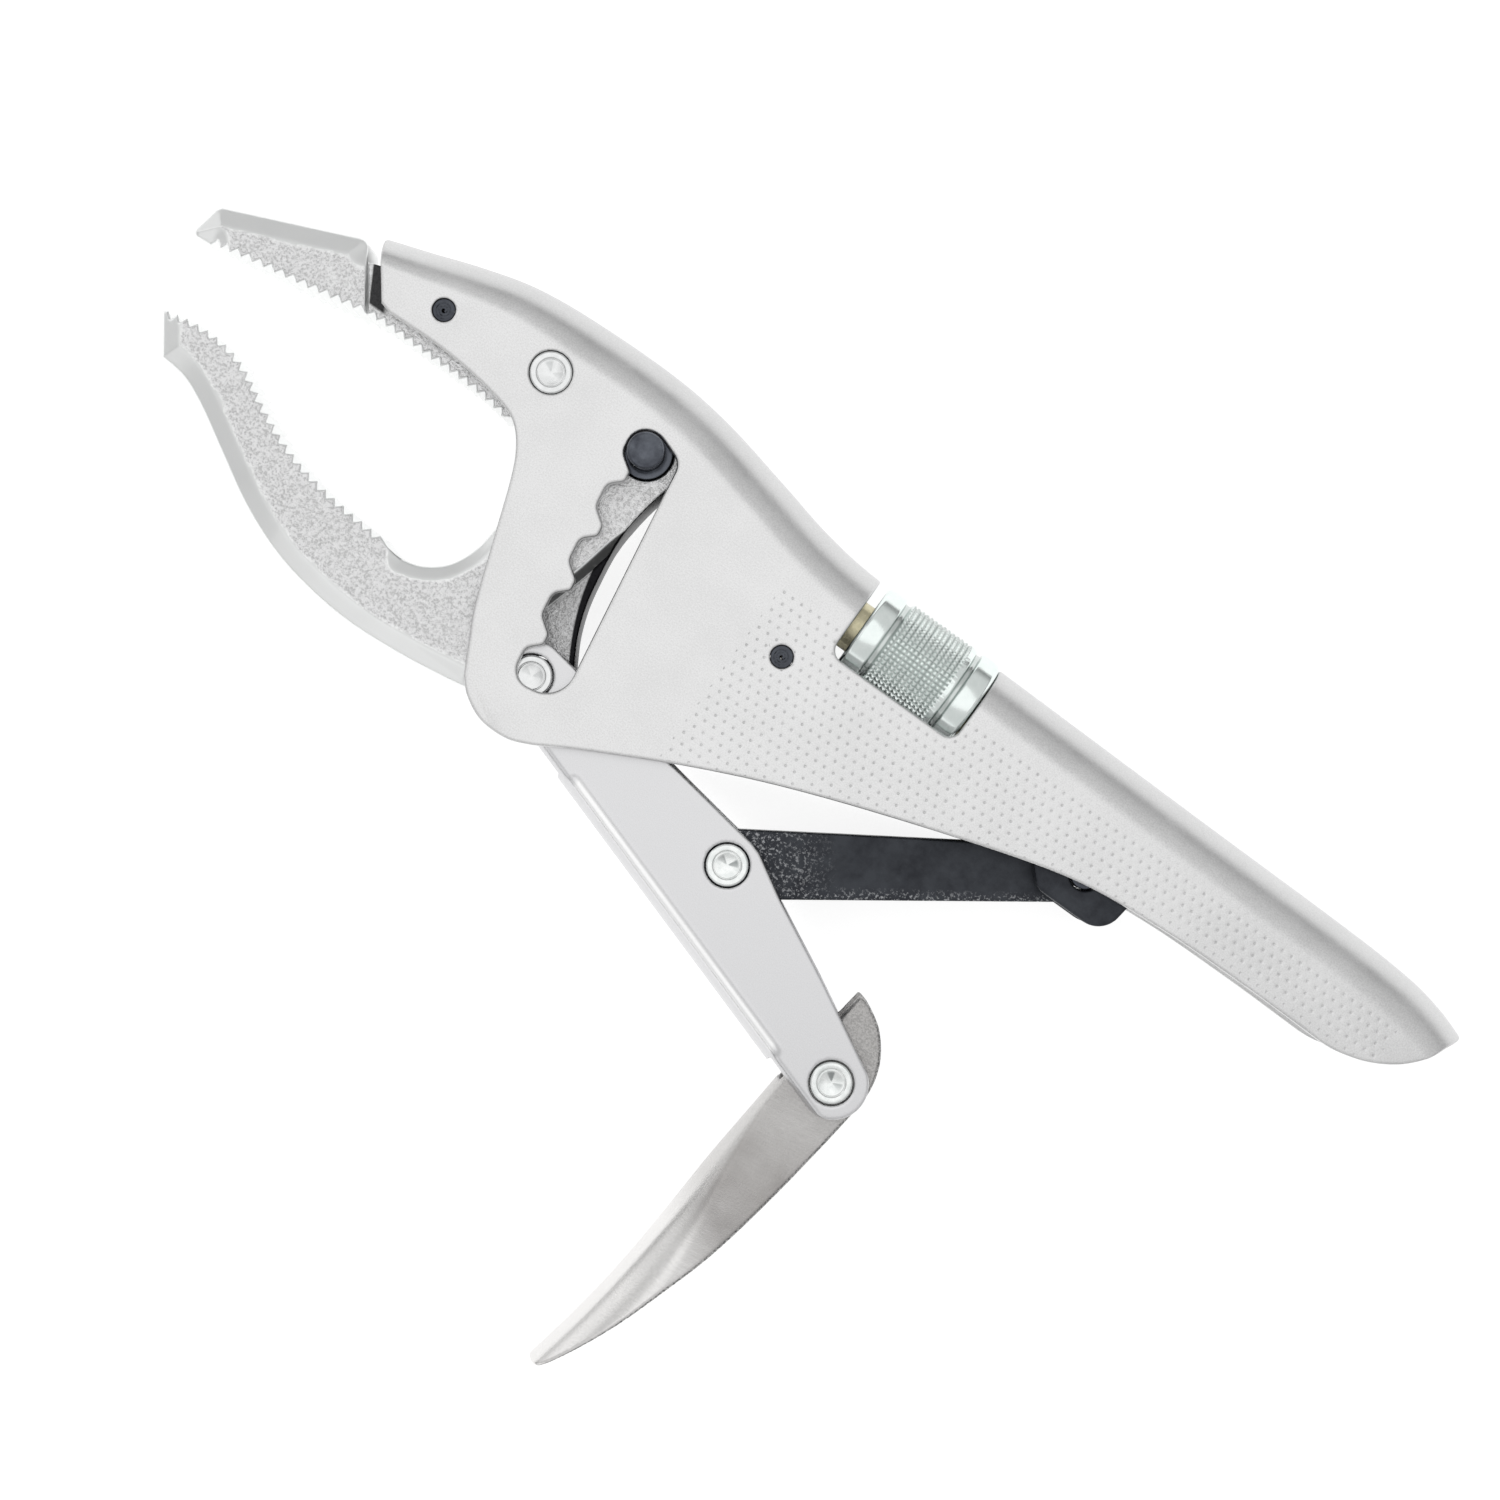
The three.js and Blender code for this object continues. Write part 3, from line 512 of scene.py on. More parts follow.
def bead_line(s):
    """The lever's raised bead, from 0 beside it to 1 along it: where its painted highlight goes."""
    x, y, _ = s.where()
    (x0, y0), (x1, y1) = BEAD
    long = math.dist(*BEAD)
    away = s.math("MULTIPLY_ADD", x, (y0 - y1) / long, (x0 * y1 - x1 * y0) / long)
    away = s.math("ABSOLUTE", s.math("MULTIPLY_ADD", y, (x1 - x0) / long, away))
    return s.product(s.remap(away, 1, 0.6), s.remap(x, x0, x0 + 1), s.remap(x, x1, x1 - 1))


def forged_steel(name, shading):
    """Forged jaw: coarse sparkling grain on its sides, smooth where it is ground. shading makes the
    mask of the painted shade, near black, where the body shades the jaw."""
    s = Shader(name, 0.4)
    coarse = s.noise(0.55, detail=3, rough=0.75)
    ragged = s.math("ADD", s.face(), s.remap(s.noise(2.5, detail=3), 0.2, 0.8, -0.04, 0.04))
    side = s.remap(ragged, 0.93, 0.985)
    spark = s.remap(coarse, 0.4, 0.54)
    ground = s.mix(s.noise(7, detail=4), rgb(0.9, 0.91, 0.905), rgb(0.97, 0.98, 0.975))
    colour = s.mix(side, ground, s.mix(spark, rgb(0.64, 0.64, 0.64), rgb(0.96, 0.96, 0.965)))
    # Painted shade: near black where the shading mask says the body shades the jaw.
    s.colour(s.mix(shading(s), colour, rgb(0.02, 0.02, 0.022)))
    s.roughness(s.remap(side, 0, 1, 0.36, 0.28))
    s.bump(s.product(coarse, side), 0.3)
    return s.material


def upper_jaw_shading(s):
    """Painted shade on the tongue, dark in the slit between the nose and the body's front edge,
    which both lean.
    """
    x, y, z = s.where()
    lean = s.math("MULTIPLY_ADD", y, 0.555, x)
    slit = s.product(s.remap(lean, -126.3, -126), s.remap(lean, -122, -123), s.remap(y, -6.5, -6))
    low = s.remap(s.math("ABSOLUTE", z), JAW_HALF + 0.15, JAW_HALF + 0.05)
    return s.product(slit, low, 0.95)


def lower_jaw_shading(s):
    """Painted shade on the hinge where the body's sides shade it: a little darker on its flats, and
    dark on its walls and along its curved rear edge."""
    x, y, z = s.where()
    hinge = s.product(s.remap(x, -78.3, -78), s.remap(y, -53.5, -53))
    flats = s.remap(s.math("ABSOLUTE", z), JAW_HINGE_HALF + 0.3, JAW_HINGE_HALF + 0.2)
    walls = s.remap(s.face(), 0.85, 0.6)
    above = s.math("SUBTRACT", y, -15)
    rear = s.math("MULTIPLY_ADD", s.product(above, above), 0.0125, -58.9)
    rim = s.product(s.remap(s.math("SUBTRACT", rear, x), 1.9, 1.5), flats)
    shade = s.math("MAXIMUM", s.math("MAXIMUM", s.product(flats, 0.25), walls), rim)
    return s.product(hinge, shade)


def black_oxide(name, roughness=0.38, wear=0.5, light=1.0, rubbed=None):
    """Blackened steel: blue-black, a little uneven, with bright specks along edges and where it is
    rubbed; rubbed makes that second mask."""
    s = Shader(name, roughness, metallic=0.6, specular=0.35)
    blotch = s.noise(5, detail=5, rough=0.65)
    scratch = s.noise(0.6, detail=3, rough=0.75)
    dark, pale = (rgb(*(light * c for c in tone))
                  for tone in ((0.022, 0.024, 0.03), (0.055, 0.06, 0.07)))
    worn = s.product(s.edges(0.505, 0.56), s.remap(scratch, 0.48, 0.58))
    if rubbed:
        worn = s.math("MAXIMUM", worn, s.product(rubbed(s), s.remap(scratch, 0.54, 0.62)))
    base = s.mix(s.remap(blotch, 0.35, 0.65), dark, pale)
    s.colour(s.mix(s.product(worn, wear), base, rgb(0.62, 0.63, 0.65)))
    s.roughness(s.remap(blotch, 0.3, 0.7, roughness - 0.07, roughness + 0.1))
    s.bump(s.noise(0.45, detail=3), 0.01)
    return s.material


def link_rubbing(s):
    """The link is rubbed where the lever's sides pass over it and along its lower edge."""
    x, y, _ = s.where()
    dx = s.math("SUBTRACT", x, LEVER_LINK_PIVOT[0])
    dy = s.math("SUBTRACT", y, LEVER_LINK_PIVOT[1])
    near = s.remap(s.length(dx, dy), 21, 8, 0, 0.8)
    rise = (YOKE_PIVOT[1] - LEVER_LINK_PIVOT[1]) / (YOKE_PIVOT[0] - LEVER_LINK_PIVOT[0])
    across = s.product(s.math("MULTIPLY_ADD", dx, -rise, dy), math.cos(math.atan(rise)))
    lower = s.remap(across, -3.6, -5.6, 0, 0.8)
    return s.math("MAXIMUM", near, lower)


def turned_metal(name, light, dark, roughness):
    """Bright turned or plated metal with faint turning lines and blotches."""
    s = Shader(name, roughness)
    s.colour(s.mix(s.noise(1.6, detail=4, rough=0.6), dark, light))
    lines = s.noise(0.35, detail=3, rough=0.6)
    s.roughness(s.remap(lines, 0.3, 0.7, roughness - 0.05, roughness + 0.12))
    s.bump(lines, 0.008)
    return s.material


def knurled_zinc(name, light, dark):
    """Zinc plate on the nut, with painted shade down in the knurl's hollows and between its collars.
    """
    s = Shader(name, 0.17)
    x, y, z = s.where()
    dy = s.math("SUBTRACT", y, SCREW_AXIS_Y)
    groove_shade = s.product(s.remap(s.length(dy, z), NUT_RADIUS - 0.15, NUT_RADIUS - 0.45),
                       s.remap(s.math("ABSOLUTE", x), 12.2, 12))
    plate = s.mix(s.noise(1.6, detail=4, rough=0.6), dark, light)
    # Painted shade in the knurl's hollows and between the collars.
    s.colour(s.mix(s.product(groove_shade, 0.42), plate, rgb(0.3, 0.32, 0.31)))
    s.bump(s.noise(0.35, detail=3, rough=0.6), 0.008)
    return s.material


def rivet_steel_with_painted_reflection(name, centre, light, dark, contrast):
    """A bright rivet end whose dished middle has painted reflection: light and dark wedges, stronger
    on one side.
    """
    s = Shader(name, 0.22)
    x, y, _ = s.where()
    dx, dy = s.math("SUBTRACT", x, centre[0]), s.math("SUBTRACT", y, centre[1])
    away = s.length(dx, dy)
    turn = s.math("ARCTAN2", dy, dx)
    wedges = s.math("SINE", s.math("MULTIPLY_ADD", turn, 3, centre[0]))
    wedges = s.product(s.remap(wedges, 0.2, 0.7), s.remap(s.math("SINE", turn), -0.6, 0.8))
    dished = s.product(s.remap(away, 2.3, 1.9), s.remap(away, 0.1, 0.5))
    tone = s.mix(s.remap(s.noise(1.2, detail=3), 0.35, 0.65), dark, light)
    # Painted reflection: light and dark wedges in the dish, stronger towards one side.
    s.colour(s.mix(s.product(wedges, dished, contrast), tone, rgb(0.22, 0.24, 0.24)))
    s.bump(s.noise(0.3, detail=2), 0.006)
    return s.material


def brushed_nickel(name):
    """Nickel plate: a pitted top end, a dark cloud below it, a bright smooth lower half, and a
    rough sheared edge."""
    s = Shader(name, 0.26)
    lines = s.noise(0.3, detail=3, rough=0.6, stretch=(1, 10, 1), turn=math.radians(-80))
    grain = s.noise(0.35, detail=3, rough=0.7)
    x, y, _ = s.where()
    lean = s.math("MULTIPLY_ADD", x, 0.9, y)
    cloud = s.product(s.remap(lean, -92, -80), s.remap(y, -85, -94, 0.3, 1),
                      s.remap(s.noise(9, detail=3), 0.3, 0.7, 0.6, 1),
                      s.remap(s.face(), 0.75, 0.97))
    tone = s.mix(s.remap(lines, 0.3, 0.7), rgb(0.6, 0.59, 0.58), rgb(0.68, 0.67, 0.66))
    bright = s.mix(s.remap(lines, 0.3, 0.7), rgb(0.78, 0.77, 0.76), rgb(0.86, 0.85, 0.84))
    tone = s.mix(s.remap(y, -102, -114), tone, bright)
    tone = s.mix(s.product(cloud, 0.8), tone, rgb(0.32, 0.305, 0.295))
    pitted = s.product(s.remap(y, -84, -74, 0, 0.55), s.remap(grain, 0.56, 0.44))
    tone = s.mix(pitted, tone, rgb(0.3, 0.295, 0.29))
    normal = s.node("ShaderNodeTexCoord").outputs["Normal"]
    facing = s.node("ShaderNodeSeparateXYZ", {0: normal}).outputs[0]
    sheared = s.product(s.remap(facing, 0.15, 0.4), s.remap(grain, 0.4, 0.6, 1, 0.1))
    s.colour(s.mix(sheared, tone, rgb(0.12, 0.12, 0.12)))
    top_end = s.remap(y, -115, -80)
    s.roughness(s.math("MULTIPLY_ADD", top_end, 0.12, 0.22))
    normal = s.bump(s.product(grain, s.remap(top_end, 0, 1, 0.1, 1)), 0.12)
    s.bump(lines, 0.008, after=normal)
    return s.material


PLATED = satin_steel("plated_body", rgb(0.87, 0.87, 0.87), rgb(0.72, 0.72, 0.72), dimpled=True)
LEVER_STEEL = satin_steel("plated_lever", rgb(0.79, 0.79, 0.80), rgb(0.72, 0.72, 0.73),
                          roughness=0.32, grain=0.25, depth=0.012, spine_shade=0.15, bead_highlight=True)
UPPER_FORGED = forged_steel("forged_upper_jaw", upper_jaw_shading)
LOWER_FORGED = forged_steel("forged_lower_jaw", lower_jaw_shading)
BLACK = black_oxide("black_oxide", wear=0.75)
LINK_BLACK = black_oxide("link_black", wear=0.8, rubbed=link_rubbing)
PIN_BLACK = black_oxide("pin_black", 0.3, wear=0.2, light=1.8)
BUTTON = black_oxide("button_black", 0.2, wear=0, light=2.9)
BRIGHT = turned_metal("bright_steel", rgb(0.88, 0.9, 0.895), rgb(0.72, 0.75, 0.745), 0.2)
ZINC = knurled_zinc("bright_zinc", rgb(0.93, 0.98, 0.96), rgb(0.78, 0.85, 0.83))
YELLOW_ZINC = turned_metal("yellow_zinc", rgb(0.74, 0.69, 0.5), rgb(0.6, 0.55, 0.36), 0.3)
SPRING_WIRE = turned_metal("spring_wire", rgb(0.6, 0.6, 0.62), rgb(0.42, 0.42, 0.44), 0.3)
NICKEL = brushed_nickel("release_nickel")

BODY_OF = {n: body for body, names in frame["record"]["behaviour"]["bodies"].items() for n in names}


def finish_piece(piece, node, material):
    """Gives the piece its material, and puts it in the place of its CAD node."""
    piece.data.materials.clear()
    piece.data.materials.append(material)
    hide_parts(node)
    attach(piece, BODY_OF[node])


# ---- body -----------------------------------------------------------------------------------
def slot_outline():
    end = (NOTCHES - 1) * NOTCH_STEP
    corners = [
        (-3.75, NOTCH_OFFSET, 3.5), (-3.75, 0.9, 3), (-1, SLOT_STRAIGHT_OFFSET, 3.4),
        (end + 3.8, SLOT_STRAIGHT_OFFSET, 5.6), (end + 3.8, NOTCH_OFFSET, 3.5),
    ]
    for i in range(NOTCHES - 1, 0, -1):
        lower, upper = i * NOTCH_STEP, (i - 1) * NOTCH_STEP
        corners += [
            (lower - 2.6, NOTCH_OFFSET, 2), (lower - 4.5, LIP_OFFSET, 1.1),
            (upper + 4.6, LIP_OFFSET, 1.4), (upper + 1.9, NOTCH_OFFSET, 2.2),
        ]
    return rounded([(*in_slot(s, w), r) for s, w, r in corners])


BODY_SPINE = [
    (-137, 2.5), (-129, 5.8), (-120, 8.9), (-110, 12.4), (-100, 15.1), (-88, 16.4), (-70, 16.8),
    (-56, 15.5), (-40, 12.1), (-28, 9.4), (-14.7, 7.9), (13.6, 7.4), (60, 6.6), (95, 6.1),
    (110, 5.4), (118, 4.1), (124.4, 2.1), (131, -0.6),
]
BODY_THROAT = [
    (-67.5, -52.2), (-70.4, -46.5), (-73.3, -40.7), (-77.5, -29.2), (-81.6, -17.7),
    (-84.3, -12.2), (-87.6, -8.6), (-92, -6.9), (-100, -5.7), (-108, -5.3), (-118, -5.6),
]
BODY_LOWER_EDGE = [
    (101.8, -14.7), (85, -14.5), (66, -14.9), (47, -17), (27, -22.6), (0, -31.8), (-20, -40),
    (-40, -50), (-49.5, -55.4),
]
BODY_HEEL = [(-49.5, -55.4), (-54.1, -57.2), (-60, -57.2), (-64.7, -55), (-67.5, -52.2)]
BODY_TAIL = [
    (124.9, 1.6), (122, -1.9), (119.6, -5.8), (116, -9.6), (111, -12.6), (105.5, -14.3),
    (101.8, -14.7),
]


def grip_dimples(block):
    """Rows of small round dimples over the handle's sides, staggered, from 0 to 1."""
    pitch, size = DIMPLE_PITCH, 0.32
    row = np.floor(block.y / pitch)
    x = block.x - pitch / 2 * np.mod(row, 2)
    dx = np.mod(x, pitch) - pitch / 2
    dy = np.mod(block.y, pitch) - pitch / 2
    dot = np.exp(-((dx * dx + dy * dy) / size**2))
    lower_edge = np.interp(block.xs, *np.array(BODY_LOWER_EDGE[::-1]).T)[:, None, None]
    held = (block.y > lower_edge + 2.2) & (block.y < DIMPLES_TOP)
    return dot * held * (block.x > DIMPLES_FROM) * (block.x < DIMPLES_TO)


def body_frame():
    block = Block((-132, -60, -1), (127, 19, 21.5), FINE)
    spine = smooth(BODY_SPINE, 200)
    depth = block.behind(spine, (131, -90), (-137, -90))
    spine_depth = ramp(block.x, -130, -85, 6, 9.3)
    dimples = grip_dimples(block)
    outer = folded(depth, block.z, spine_depth, BODY_HALF, 1.75)
    wall = np.maximum(outer + 0.09 * dimples, -(outer + BODY_SHEET))
    silhouette = [
        (-128.9, 6.6), (-131, 30), (126.5, 30), *smooth(BODY_TAIL, 40),
        *smooth(BODY_LOWER_EDGE, 120), *smooth(BODY_HEEL, 30), *smooth(BODY_THROAT, 80),
        (-120.3, -5),
    ]
    window = rounded([(-14.5, 40), (-14.5, -9.3, 2.5), (13.6, -9.3, 2.5), (13.6, 40)])
    shape = meet(wall, block.outline(silhouette), 0.45)
    shape = without(shape, block.outline(window), 0.45)
    shape = without(shape, block.outline(slot_outline()), 0.55)
    for centre, radius in ((UPPER_JAW_RIVET, RIVET_RADIUS), (FRONT_COIL_PIN, COIL_PIN_RADIUS),
                           (REAR_COIL_PIN, COIL_PIN_RADIUS)):
        shape = without(shape, block.hole(centre, radius + 0.12), 0.08)
    finish_piece(block.mesh("folded_body", shape, 260_000), "body_frame", PLATED)


# ---- jaws -----------------------------------------------------------------------------------
NOSE_TEETH = [(-154.4, -14.6), (-146, -13), (-134, -10.9), (-121.8, -8.5)]
TONGUE_TEETH = [(-126, -8.9), (-119.5, -8.1), (-108, -8.1), (-97, -8.2), (-90.4, -9)]
GRIP_TEETH = [
    (-153.6, -29.2), (-147, -27.9), (-140, -28), (-134, -29.8), (-126, -34), (-118, -37.2),
    (-108, -39.3), (-95.6, -40.3),
]
JAW_THROAT = [
    (-93.4, -41.2), (-90, -41.4), (-86, -40.1), (-82.2, -36.8), (-79.9, -31.5), (-79.2, -25.4),
    (-78, -16), (-75.2, -7), (-71.9, -0.5),
]
JAW_REAR = [
    (-56.9, -1.4), (-58.1, -6.5), (-58.8, -12), (-58.8, -17), (-58.1, -22.5), (-56.9, -28.5),
    (-54.9, -34), (-52.2, -38.9),
]
JAW_BACK = [
    (-66, -54.3), (-72, -55.3), (-80, -56.4), (-90.5, -57.1), (-100, -56.5), (-110, -54.5),
    (-120, -50.6), (-130, -45), (-138, -40.4), (-144, -37.8), (-149.6, -37.1),
]
JAW_STEP = [
    (-56, -7), (-59.6, -14), (-62, -24), (-66, -38), (-68, -45), (-66.9, -51), (-65, -55.5),
    (-63.6, -62),
]


def upper_jaw():
    block = Block((-160, -17, -0.5), (-81, 10, 21), cell(0.2))
    nose_top = rounded([(-121.6, -8.4), (-130, 3.6, 2.2), (-157.4, -7.6, 2), (-158.9, -15, 1.2),
                        (-154.4, -14.6)])
    nose_teeth = teeth(NOSE_TEETH, 14, 1.3)
    nose = block.outline([*nose_top, *nose_teeth[1:-1]])
    half = ramp(block.x, -165, -118, 4.6, NOSE_HALF)
    nose = meet(nose, np.abs(block.z) - half, 0.3)
    top = block.near([p for p in nose_top if p[1] > -15][2:])[:, :, None]
    nose = meet(nose, bevel(block, top, 2.6, 4.3, half), 0.5)
    shoulder = block.outline([(-130.6, 8), (-121, -9.3), (-100, -20), (-100, 20)])
    nose = without(nose, shoulder, 0.3)
    tongue = block.outline([
        *teeth(TONGUE_TEETH, 17, 1.25), (-87, -7.2), (-83.2, -3), (-82.6, 5.5), (-92, 6.9),
        (-110, 4.2), (-124.4, 1), (-131, -1.4), (-130, -6),
    ])
    shape = np.minimum(nose, meet(tongue, block.slab(JAW_HALF), 0.3))
    for centre, radius in ((UPPER_JAW_RIVET, RIVET_RADIUS), (FRONT_COIL_PIN, COIL_PIN_RADIUS)):
        shape = without(shape, block.hole(centre, radius + 0.2), 0.1)
    finish_piece(block.mesh("fixed_jaw", shape), "upper_jaw", UPPER_FORGED)


def lower_jaw():
    block = Block((-157, -60, 1.5), (-42, 10.5, 19), cell(0.2))
    grip = teeth(GRIP_TEETH, 27, -1.3)
    throat, rear, back = smooth(JAW_THROAT, 60), smooth(JAW_REAR, 40), smooth(JAW_BACK, 80)
    eye = arc(JAW_PIVOT, 7.4, 175, -14)
    boss = arc(JAW_LEVER_PIVOT, 8.3, 28, -98)
    edge = block.outline([*grip, *throat, *eye, *rear, *boss, *back, (-154.8, -29.8)])
    half = ramp(block.x, -165, -112, 4.6, JAW_HALF)
    shape = meet(edge, np.abs(block.z) - half, 0.3)
    outer = block.near([*back, (-154.8, -29.8)])[:, :, None]
    width = ramp(block.x, -68, -64, 4.2, 1.2)
    shape = meet(shape, bevel(block, outer, 2.7, width, half), 0.5)
    inner = block.near(throat[4:])[:, :, None]
    shape = meet(shape, bevel(block, inner, 2, 3, JAW_HALF), 0.5)
    step = block.outline([*smooth(JAW_STEP, 40), (-30, -62), (-30, -7)])
    rise, run = JAW_HALF - JAW_HINGE_HALF, ramp(block.y, -42, -34, 0.3, 1.8)
    slope = ((JAW_HALF - np.abs(block.z)) * run + step * rise) / np.hypot(rise, run)
    recess = np.maximum(np.maximum(step, JAW_HINGE_HALF - np.abs(block.z)), slope)
    shape = without(shape, recess, 0.3)
    lug = meet(block.hole(SPRING_LUG, 2.4), block.slab(1.5), 0.3)
    arm = block.outline([(-54, -41), (-46.6, -42.2), (-46.6, -46.6), (-54, -48)])
    shape = np.minimum(shape, np.minimum(lug, meet(arm, block.slab(1.5), 0.3)))
    shape = without(shape, block.hole(SPRING_LUG, 1.1), 0.2)
    shape = without(shape, block.hole(JAW_LEVER_PIVOT, 5.7), 0.4)
    shape = without(shape, block.hole(JAW_PIVOT, 4.8), 0.2)
    washer = np.maximum(block.hole(JAW_PIVOT, 5.2), 5.4 - np.abs(block.z))
    shape = without(shape, washer, 0.2)
    finish_piece(block.mesh("moving_jaw", shape), "lower_jaw", LOWER_FORGED)


# ---- toggle ---------------------------------------------------------------------------------
def lever():
    block = Block((-66, -83, 1.5), (42, -36, 19), FINE)
    start, end = (-70, -49.3), (48, -87)
    depth = block.behind([start, end], (100, 60), (-20, 90))
    outer = folded(depth, block.z, 2.6, LEVER_HALF)
    ridge = block.near(BEAD)[:, :, None]
    raised = 0.3 * np.exp(-((ridge / 0.95) ** 3))
    wall = np.maximum(outer - raised, -(outer + LEVER_SHEET))
    silhouette = [
        *arc(JAW_LEVER_PIVOT, 6.8, 82, 250), (-58.9, -53.6), (-49.2, -56), (-42.9, -57.5),
        (-42.7, -60), (20.4, -81), (20.9, -77.2), (26.5, -79.2), *arc((33, -74.2), 6.7, -98, 52),
        (20, -59.6), (4.7, -51.9), (-3.4, -47.2), (-5.6, -46.5), (-9.75, -45.9),
    ]
    shape = meet(wall, block.outline(silhouette), 0.4)
    inside = LEVER_HALF - LEVER_SHEET
    for left, right in ((-75, -42.8), (20.7, 60)):
        opening = block.outline([(left, -30), (left, -95), (right, -95), (right, -30)])
        shape = without(shape, np.maximum(opening, block.slab(inside)), 0.3)
    for centre in (JAW_LEVER_PIVOT, LEVER_LINK_PIVOT, RELEASE_PIVOT):
        shape = without(shape, block.hole(centre, RIVET_RADIUS + GAP), 0.1)
    finish_piece(block.mesh("lever_channel", shape), "lever", LEVER_STEEL)


def toggle_link():
    block = Block((-16, -61, 6), (56, -7, 14.5), FINE)
    rise = YOKE_PIVOT[1] - LEVER_LINK_PIVOT[1]
    heading = math.degrees(math.atan2(rise, YOKE_PIVOT[0] - LEVER_LINK_PIVOT[0]))
    outline = [*arc(LEVER_LINK_PIVOT, 6.7, heading + 92, heading + 268),
               *arc(YOKE_PIVOT, 5.3, heading - 88, heading + 88)]
    shape = meet(block.outline(outline), block.slab(LINK_HALF), 0.4)
    shape = without(shape, block.hole(LEVER_LINK_PIVOT, 3.5), 0.3)
    shape = without(shape, block.hole(YOKE_PIVOT, 4.2), 0.3)
    finish_piece(block.mesh("link_plate", shape, 60_000), "toggle_link", LINK_BLACK)


def domed(block, top, dome, half):
    """Flat sides under a top edge that is domed across the thickness."""
    return folded(top - block.y, block.z, dome, half) + 0 * block.x


def screw_yoke():
    block = Block((38, -24, 1.5), (60.5, 4, 19), FINE)
    side = rounded([(41.2, 2.6), (39.5, -19), (42.6, -22.2, 3), (57.6, -22.2, 5), (58.7, -14),
                    (58.7, 2.6)])
    shape = meet(block.outline(side), domed(block, 2.6, 6.5, YOKE_HALF - 0.1), 0.5)
    pocket = np.maximum(block.y + 9, block.slab(YOKE_HALF - 3)) + 0 * block.x
    shape = without(shape, pocket, 0.4)
    shape = without(shape, block.hole(YOKE_PIVOT, 2.9), 0.3)
    bore = np.hypot(block.y - SCREW_AXIS_Y, block.z) - SCREW_TAIL_RADIUS - GAP + 0 * block.x
    shape = without(shape, bore, 0.3)
    finish_piece(block.mesh("yoke_block", shape, 60_000), "screw_yoke", BLACK)


def screw_guide():
    block = Block((-32.5, -11.5, 1.5), (-16, 6.5, 19), FINE)
    side = block.outline([(-31, -9.6), (-17.5, -9.6), (-17.5, 4.1), (-31, 5)])
    shape = meet(side, domed(block, 5, 4.8, YOKE_HALF), 0.4)
    bore = np.hypot(block.y - SCREW_AXIS_Y, block.z) - SCREW_RADIUS - GAP + 0 * block.x
    finish_piece(block.mesh("guide_block", without(shape, bore, 0.3), 40_000), "screw_guide", BLACK)


def release_lever():
    block = Block((14, -152, 1.5), (41.5, -56, 19), FINE)
    spine = smooth([
        (27.6, -52), (26.3, -64), (24.6, -76), (23.4, -88.6), (22.4, -100), (21.6, -113.4),
        (20.5, -126.8), (18.9, -138.3), (16.7, -149.7), (15.2, -158),
    ], 120)
    depth = block.behind(spine, (90, -158), (90, -52))
    spine_depth = 1.6 + 7.4 * easing(-block.y, 80, 128)
    half = RELEASE_HALF + (RELEASE_WIDE_HALF - RELEASE_HALF) * easing(-block.y, 82, 106)
    outer = folded(depth, block.z, spine_depth, half)
    wall = np.maximum(outer, -(outer + RELEASE_SHEET))
    edge = smooth([
        (27.5, -57.8), (30.4, -58.6), (34.2, -60.9), (37.4, -64.7), (39.2, -68.8), (39.8, -73.5),
        (39.2, -79.5), (38.2, -87), (36.2, -99), (33.3, -113.5), (30, -124.5), (26.6, -134.5),
        (22.8, -143.3), (19.4, -149.6), (17.6, -150.4),
    ], 160)
    silhouette = [*edge, (10, -150.4), (10, -62.8), (26.6, -62.8)]
    shape = meet(wall, block.outline(silhouette), 0.75)
    opening = block.outline([(10, -50), (10, -79.5), (45, -79.5), (45, -50)])
    inside = RELEASE_HALF - RELEASE_SHEET
    shape = without(shape, np.maximum(opening, block.slab(inside)), 0.3)
    shape = without(shape, block.hole(RELEASE_PIVOT, 3.7), 0.2)
    finish_piece(block.mesh("release_channel", shape), "release_lever", NICKEL)


# ---- rivets and pins ------------------------------------------------------------------------
BODY_TONE = rgb(0.84, 0.85, 0.85), rgb(0.76, 0.77, 0.77)
RIVET_TONE = rgb(0.93, 0.95, 0.94), rgb(0.8, 0.83, 0.82)


def rivet(node, centre, half, neck=None, neck_half=0.0, flush=False):
    """A rivet with dished ends. A flush one has the body's plated tone and fainter painted
    reflection wedges.
    """
    r = RIVET_RADIUS
    end = [(0, half - 0.75), (2.4, half - 0.12), (2.6, half - 0.25), (2.8, half - 0.02),
           (r - 0.3, half), (r, half - 0.25)]
    if neck:
        end += [(r, neck_half), (neck, neck_half)]
    profile = softened([(a, -b) for a, b in end] + [(a, b) for a, b in reversed(end)], 0.12, 3)
    piece = lathe(node + "_turned", profile, (*centre, MIDDLE))
    (light, dark), contrast = (BODY_TONE, 0.3) if flush else (RIVET_TONE, 0.8)
    finish_piece(piece, node, rivet_steel_with_painted_reflection(node + "_steel", centre, light, dark, contrast))


def coil_pin(node, centre):
    """A pin rolled from strip: a spiral inside a closed outer turn."""
    half, turns, strip, inner = BODY_HALF - 0.35, 2.8, 0.5, 0.34
    block = Block((centre[0] - 2.6, centre[1] - 2.6, 0), (centre[0] + 2.6, centre[1] + 2.6, 20.6),
                  cell(0.1))
    angle = np.linspace(0, turns * 2 * math.pi, 120)
    radius = inner + (COIL_PIN_RADIUS - strip / 2 - inner) * angle / angle[-1]
    line = np.column_stack([centre[0] + radius * np.cos(angle), centre[1] + radius * np.sin(angle)])
    strip_field = block.near([tuple(p) for p in line])[:, :, None].astype(np.float32) - strip / 2
    outer_turn = np.abs(block.hole(centre, COIL_PIN_RADIUS - strip / 2)) - strip / 2
    strip_field = np.minimum(strip_field, outer_turn)
    shape = meet(strip_field, block.slab(half), 0.12)
    finish_piece(block.mesh(node + "_rolled", shape, 40_000), node, PIN_BLACK)


